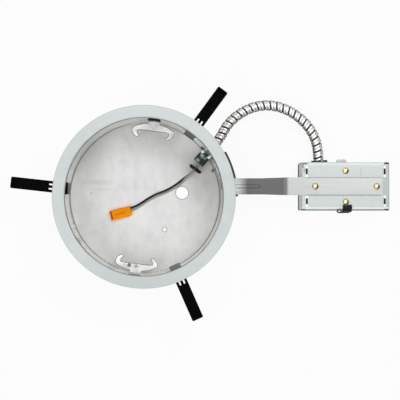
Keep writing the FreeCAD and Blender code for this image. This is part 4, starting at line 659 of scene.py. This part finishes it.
class HOUSING_OT_box(HousingOperator, bpy.types.Operator):
    """Finishes the arm, the junction box, its doors, rivets, clamp and clip"""

    bl_idname = "housing.box"
    bl_label = "Junction box"

    def execute(self, context):
        colours = self.colours
        # Galvanised steel sheet, folded: as pale as the flange, with a little more gloss.
        # Painted highlights run along both long folds, with a band of painted shade below the lower one;
        # painted shade also darkens the far end, the corners, a crease, the near end's foot, a spot by a
        # slot and thin lines along the edges.
        zinc = colours.galvanised
        marks = [(box_mark((338.5, -30, -56.5), (348.5, 60, -50)), 0.8),
                 (box_mark((200, 46.6, -57.6), (400, 60, -50)), 1.45),
                 (box_mark((200, -30, -57.0), (400, -14.4, -50)), 1.45),
                 (box_mark((200, -30, -62), (400, -17.1, -50)), 0.5),
                 (box_mark((307.0, 28.7, -56), (307.7, 41.4, -50)), 0.6),
                 (box_mark((200, -30, -110), (225.5, 60, -102.6)), 0.3),
                 (box_mark((200, -19.1, -63), (400, -18.4, -50)), 0.3),
                 (box_mark((223.9, 42.0, -60), (225.2, 48.0, -50)), 0.06),
                 (box_mark((223.9, 46.9, -60), (231.5, 48.3, -50)), 0.06),
                 (smudge((227, 38, -52), (4, 5, 9), 0.8), 0.35),
                 (box_mark((347.2, -30, -58), (350, 60, -50)), 0.25),
                 (box_mark((341.0, 47.0, -59), (350, 60, -50)), 0.06),
                 (box_mark((341.0, -30, -62), (350, -16.6, -50)), 0.06),
                 (box_mark((220, -30, -62), (227.5, -16.6, -50)), 0.2)]
        # The four latch slots are painted black as shade, with a painted highlight on the pressed spot
        # above and below each.
        for x in (230.0, 341.4):
            for middle in (-5.7, 36.7):
                slot = box_mark((x - 1.9, middle - 4.4, -54), (x + 1.9, middle + 4.4, -50))
                marks.append((slot, 0.02))
                for end in (-6.2, 6.2):
                    marks.append((ring_mark((x, middle + end), 0, 1.9, -56, -50), 1.6))
        box = sheet_metal("galvanised_steel_folded", zinc, 0.5, 0.25, 26.0, (1.0, 0.25, 1.0), 0.05, 0.15,
                          shaded(zinc, *marks))
        # Galvanised strip, drawn: brushed along its length, with a painted pale reflection where it
        # leaves the can.
        # A painted dark reflection lies on its slope, and painted shade lines run along its edges.
        slope_reflection = [(0.22, 0.0), (0.27, 0.3), (0.35, 0.82), (0.84, 0.85), (0.9, 0.66), (0.925, 0.0)]
        strip = sheet_metal("galvanised_steel_strip", colours.strap, 0.34, 0.8, 30.0,
                            (0.06, 1.0, 1.0), 0.04, 0.2, shaded(
                                colours.strap,
                                (smudge((126, 15, -80), (20, 16, 70), 0.9), 1.7),
                                (fade_mark(111.0, 211.0, slope_reflection), 0.14),
                                (box_mark((228, 27.3, -110), (340, 29, 10)), 0.55),
                                (box_mark((228, 2, -110), (340, 3.7, 10)), 0.55)))
        # Brass, polished: warm bright domes, painted dark on their lower right side as shade and with a
        # painted highlight on the upper left.
        brass = smooth_metal("brass_polished", colours.brass, 0.12, 4.0, marks=[
            (facing_mark((1, -1, 0), 0.25, 0.6, 0.85), shade(colours.brass, 0.18)),
            (facing_mark((-0.3, 0.3, 1), 0.92, 0.99, 0.8), linear("FFF8E4"))])
        # Spring steel, tempered: a flat mid grey.
        clothe(smooth_metal("spring_steel_tempered", colours.tempered, 0.45, 4.0, 0.4), "cable_clamp")
        # Steel, pressed: dark beads along the rib's shoulders, painted shade lines for the rib.
        rib_shade_steel = smooth_metal("steel_rib_shade_lines", colours.edge, 0.4, 3.0, 0.5)
        rim("arm_rib_rim", "box_arm", self.sizes.rim, rib_shade_steel, rib_edge, "galvanised_sheet")
        # Nylon, moulded: black with a dull mould grain.
        nylon = moulded_plastic("nylon_black_moulded", colours.nylon, 0.42, Specular_IOR_Level=0.2)
        clothe(box, "box_body", "box_door_near", "box_door_far")
        clothe(strip, "box_arm")
        clothe(brass, "arm_dome_rivets", "clamp_dome_rivets")
        clothe(nylon, "cord_clip", "cord_clip_ring")
        # Nylon, polished: the bushing's collar catches the lamps.
        clothe(moulded_plastic("nylon_black_polished", colours.nylon, 0.25, Specular_IOR_Level=0.25),
               "lead_bushing")
        # Polycarbonate, clear: push-in connectors that show a pale body.
        clear = moulded_plastic("polycarbonate_clear", colours.clear, 0.15, bump=0.05)
        clothe(clear, "wire_connector_1", "wire_connector_2", "wire_connector_3")
        for name, colour in (("black", colours.black_wire), ("white", colours.white_wire),
                             ("green", colours.green_wire)):
            clothe(moulded_plastic(f"pvc_insulation_{name}_in_box", colour, 0.4), f"box_wire_{name}")
        return {"FINISHED"}


class HOUSING_OT_conduit(HousingOperator, bpy.types.Operator):
    """Winds the flexible conduit's strip along its route and finishes the connectors"""

    bl_idname = "housing.conduit"
    bl_label = "Conduit"

    def execute(self, context):
        sizes, colours = self.sizes, self.colours
        # Steel strip, galvanised and interlocked: bright crests, dark seams between the turns.
        # The sides are painted darker than the top as shade.
        strip = smooth_metal("galvanised_strip_interlocked", colours.strip, 0.28, 3.0, 0.85, marks=[
            (facing_mark((0, 0, -1), -0.82, -0.45, 0.95), shade(colours.strip, 0.07))])
        path = spline_points("conduit_guide", CONDUIT_ROUTE)
        lengths = [0.0]
        for a, b in zip(path, path[1:]):
            lengths.append(lengths[-1] + (b - a).length)
        total = lengths[-1]
        around, steps_per_pitch, seam_level = 40, 44, 0.3
        count = int(total / (sizes.strip_pitch / steps_per_pitch))
        points, faces, seams = [], [], []
        segment = 0
        for index in range(count + 1):
            distance = total * index / count
            while segment < len(path) - 2 and lengths[segment + 1] < distance:
                segment += 1
            share = (distance - lengths[segment]) / (lengths[segment + 1] - lengths[segment])
            centre = path[segment].lerp(path[segment + 1], share)
            along = (path[segment + 1] - path[segment]).normalized()
            side = along.cross(Vector((0, 0, 1))).normalized()
            up = side.cross(along)
            for turn in range(around):
                angle = 2 * math.pi * turn / around
                rise = strip_level(distance / sizes.strip_pitch + turn / around)
                radius = sizes.strip_valley + (sizes.strip_crest - sizes.strip_valley) * rise
                points.append(centre + (side * math.cos(angle) + up * math.sin(angle)) * radius)
        for index in range(count):
            middle = total * (index + 0.5) / count / sizes.strip_pitch
            for turn in range(around):
                following = (turn + 1) % around
                faces.append((index * around + turn, (index + 1) * around + turn,
                              (index + 1) * around + following, index * around + following))
                seams.append(strip_level(middle + (turn + 0.5) / around) < seam_level)
        faces.append(tuple(range(around)))
        faces.append(tuple(count * around + turn for turn in reversed(range(around))))
        mesh = mesh_from("conduit_strip", points, faces)
        conduit = new_object("conduit_strip", mesh, strip)
        # Steel strip in the seams: unplated edges, dull and dark.
        mesh.materials.append(smooth_metal("strip_seam_dull", colours.seam, 0.6, 2.0, 0.3))
        for face, seam in zip(mesh.polygons, seams):
            face.material_index = int(seam)
        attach(conduit, "housing")
        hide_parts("conduit")
        # Zinc alloy, die cast: dark, slightly green, with two painted pale highlights on the can's
        # connector and painted shade on the faces that look down.
        cast = cast_metal("zinc_alloy_die_cast", colours.cast, colours.glint, [
            (smudge((75.7, 53.4, -70), (5, 5, 12), 0.8), shade(colours.glint, 0.75)),
            (smudge((82.4, 59.0, -70), (5, 5, 12), 0.8), shade(colours.glint, 0.75)),
            (facing_mark((0, 0, -1), -0.9, -0.4), shade(colours.cast, 0.1))])
        clothe(cast, "can_connector", "box_connector")
        return {"FINISHED"}


class HOUSING_OT_lead(HousingOperator, bpy.types.Operator):
    """Lays the two fixture wires and finishes the plug"""

    bl_idname = "housing.lead"
    bl_label = "Lead and plug"

    def execute(self, context):
        sizes, colours = self.sizes, self.colours
        # Nylon, moulded: orange body with a soft gloss.
        # Two rows of deeper orange dashes, along its middle and one edge, are painted shade for its
        # ridges.
        ridge_shade_orange = shade(colours.ports, 1.1)
        ridge_shade_dashes = []
        for count, (x, y, z), height, strength in ((5, (-42.0, -24.6, -96), 9, 0.95),
                                                   (6, (-47.0, -18.6, -97), 9, 0.9)):
            ridge_shade_dashes += [(smudge((x + 2.7 * step, y + 0.72 * step, z), (3.0, 1.6, height), strength), ridge_shade_orange)
                      for step in range(count)]
        orange = moulded_plastic("nylon_orange_moulded", colours.plug, 0.4, variation=0.06, marks=ridge_shade_dashes,
                                 Specular_IOR_Level=0.0)
        # Nylon, moulded: red ports with a satin skin.
        red = moulded_plastic("nylon_red_moulded", colours.ports, 0.35, Specular_IOR_Level=0.05)
        clothe(orange, "plug_body")
        clothe(red, "plug_ports")
        for name, route, length, colour in (("black", BLACK_ROUTE, 0.1318, colours.black_wire),
                                            ("white", WHITE_ROUTE, 0.1345, colours.white_wire)):
            # PVC insulation: smooth extruded skin with a low sheen.
            skin = moulded_plastic(f"pvc_insulation_{name}", colour, 0.4, Specular_IOR_Level=0.2)
            wire = spline_object(f"fixture_wire_{name}", route, sizes.wire)
            wire.data.materials.append(skin)
            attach(wire, "housing")
            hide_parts(f"lead_{name}")
            [value * MM for value in route[0]]
        return {"FINISHED"}


class HOUSING_OT_stage(HousingOperator, bpy.types.Operator):
    """Sets the plain floor, the soft lamps, the world and the camera"""

    bl_idname = "housing.stage"
    bl_label = "Studio"

    def execute(self, context):
        sizes, scene = self.sizes, context.scene
        half, clearance = sizes.floor, 0.0002
        low = CAD_BOX[0][2] - clearance
        mesh = mesh_from("studio_floor", [(-half, -half, low), (half, -half, low), (half, half, low),
                                          (-half, half, low)], [(0, 1, 2, 3)], smooth=False)
        floor = new_object("studio_floor", mesh, self.floor_material(self.colours.floor))
        self.add_world(scene)
        self.add_lamp("key_softbox", (0.75, 0.8, 2.1), 1.0, 16.0)
        self.add_lamp("fill_softbox", (-0.8, -0.5, 2.2), 1.4, 15.0)
        self.add_flag()
        self.add_side_card()
        camera = new_object("photo_camera", bpy.data.cameras.new("photo_camera"))
        camera.data.lens = sizes.lens / MM
        camera.data.sensor_width = sizes.sensor / MM
        camera.location = (0.018717, -0.019264, 1.480159)
        camera.rotation_euler = Euler([math.radians(angle) for angle in (0.5735, -2.2192, -0.0284)])
        camera.data.clip_end = 50.0
        scene.camera = camera
        scene.view_settings.view_transform = "Standard"
        return {"FINISHED"}

    def add_flag(self):
        """A black card behind the camera, which bright strip facing the lens mirrors as dark grey."""
        middle, radius, height, corners = 0.03, 0.2, 1.62, 16
        turns = [2 * math.pi * corner / corners for corner in range(corners)]
        self.add_card("lens_flag", [(middle + radius * math.cos(turn), radius * math.sin(turn), height)
                                    for turn in turns])

    def add_side_card(self):
        """A tall black card on the right, which gives domes and bends a dark side."""
        self.add_card("side_card", [(1.1, -1.0, 0.1), (1.1, 0.7, 0.1),
                                    (1.3, 0.7, 0.9), (1.3, -1.0, 0.9)])

    def add_card(self, name, places):
        """A matte black card that shows in reflections only."""
        mesh = mesh_from(name, places, [tuple(range(len(places)))], smooth=False)
        black = moulded_plastic(f"matte_black_{name}", linear("0A0A0A"), 0.9, Specular_IOR_Level=0.0)
        card = new_object(name, mesh, black)
        card.visible_camera = False
        card.visible_diffuse = False
        card.visible_shadow = False

    def floor_material(self, colour):
        """Matte paper that reads near white to the camera and in reflections, with a soft shadow."""
        material, tree, shader, place = new_material("matte_background_paper", colour, 0.9,
                                                     Specular_IOR_Level=0.0)
        fibres = add_node(tree, "TexNoise", {"Vector": place, "Scale": per_mm(1.5),
                                             "Detail": 2.0}).outputs["Fac"]
        relief = add_node(tree, "Bump", {"Height": fibres, "Strength": 0.05, "Distance": 0.0001})
        tree.links.new(relief.outputs["Normal"], shader.inputs["Normal"])
        share = add_node(tree, "Math", {0: seen_rays(tree), 1: 0.93},
                         operation="MULTIPLY").outputs["Value"]
        glow = add_node(tree, "Emission", {"Color": (1.0, 1.0, 1.0, 1.0), "Strength": 1.0})
        mix = add_node(tree, "MixShader", {"Fac": share, 1: shader.outputs["BSDF"],
                                           2: glow.outputs["Emission"]})
        tree.links.new(mix.outputs["Shader"], tree.nodes["Material Output"].inputs["Surface"])
        return material

    def add_world(self, scene):
        """A white world for the camera and in reflections, and a third as bright for matte surfaces."""
        world = bpy.data.worlds.new("studio_world")
        scene.world = world
        world.use_nodes = True
        tree = world.node_tree
        base = tree.nodes["Background"]
        base.inputs["Color"].default_value = (1.0, 1.0, 1.0, 1.0)
        base.inputs["Strength"].default_value = 0.34
        white = add_node(tree, "Background", {"Color": (1.0, 1.0, 1.0, 1.0), "Strength": 1.0})
        mix = add_node(tree, "MixShader", {"Fac": seen_rays(tree), 1: base.outputs["Background"],
                                           2: white.outputs["Background"]})
        tree.links.new(mix.outputs["Shader"], tree.nodes["World Output"].inputs["Surface"])

    def add_lamp(self, name, place, size, power):
        """A round softbox that looks at the housing."""
        lamp = bpy.data.lights.new(name, "AREA")
        lamp.shape = "DISK"
        lamp.size = size
        lamp.energy = power
        item = new_object(name, lamp)
        item.location = place
        aim = Vector((0.08, 0.0, -0.05)) - Vector(place)
        item.rotation_euler = aim.to_track_quat("-Z", "Y").to_euler()


class HOUSING_PT_panel(bpy.types.Panel):
    """Lists the housing's operators, sizes and colours."""

    bl_idname = "HOUSING_PT_panel"
    bl_label = "Recessed light housing"
    bl_space_type = "VIEW_3D"
    bl_region_type = "UI"
    bl_category = "Housing"

    def draw(self, context):
        layout = self.layout
        for operator in OPERATORS:
            layout.operator(operator.bl_idname)
        for settings in (context.scene.housing_sizes, context.scene.housing_colours):
            box = layout.box()
            for name in settings.__annotations__:
                box.prop(settings, name)


OPERATORS = (HOUSING_OT_can, HOUSING_OT_brackets, HOUSING_OT_box, HOUSING_OT_conduit,
             HOUSING_OT_lead, HOUSING_OT_stage)
CLASSES = (HousingSizes, HousingColours, *OPERATORS, HOUSING_PT_panel)


def register():
    """Registers the classes and puts the settings on the scene."""
    for item in CLASSES:
        bpy.utils.register_class(item)
    bpy.types.Scene.housing_sizes = bpy.props.PointerProperty(type=HousingSizes)
    bpy.types.Scene.housing_colours = bpy.props.PointerProperty(type=HousingColours)


def unregister():
    """Takes the settings and classes away again."""
    del bpy.types.Scene.housing_colours
    del bpy.types.Scene.housing_sizes
    for item in reversed(CLASSES):
        bpy.utils.unregister_class(item)


def main():
    """Builds the whole scene."""
    register()
    for operator in (bpy.ops.housing.can, bpy.ops.housing.brackets, bpy.ops.housing.box,
                     bpy.ops.housing.conduit, bpy.ops.housing.lead, bpy.ops.housing.stage):
        operator()


if __name__ == "__main__":
    main()
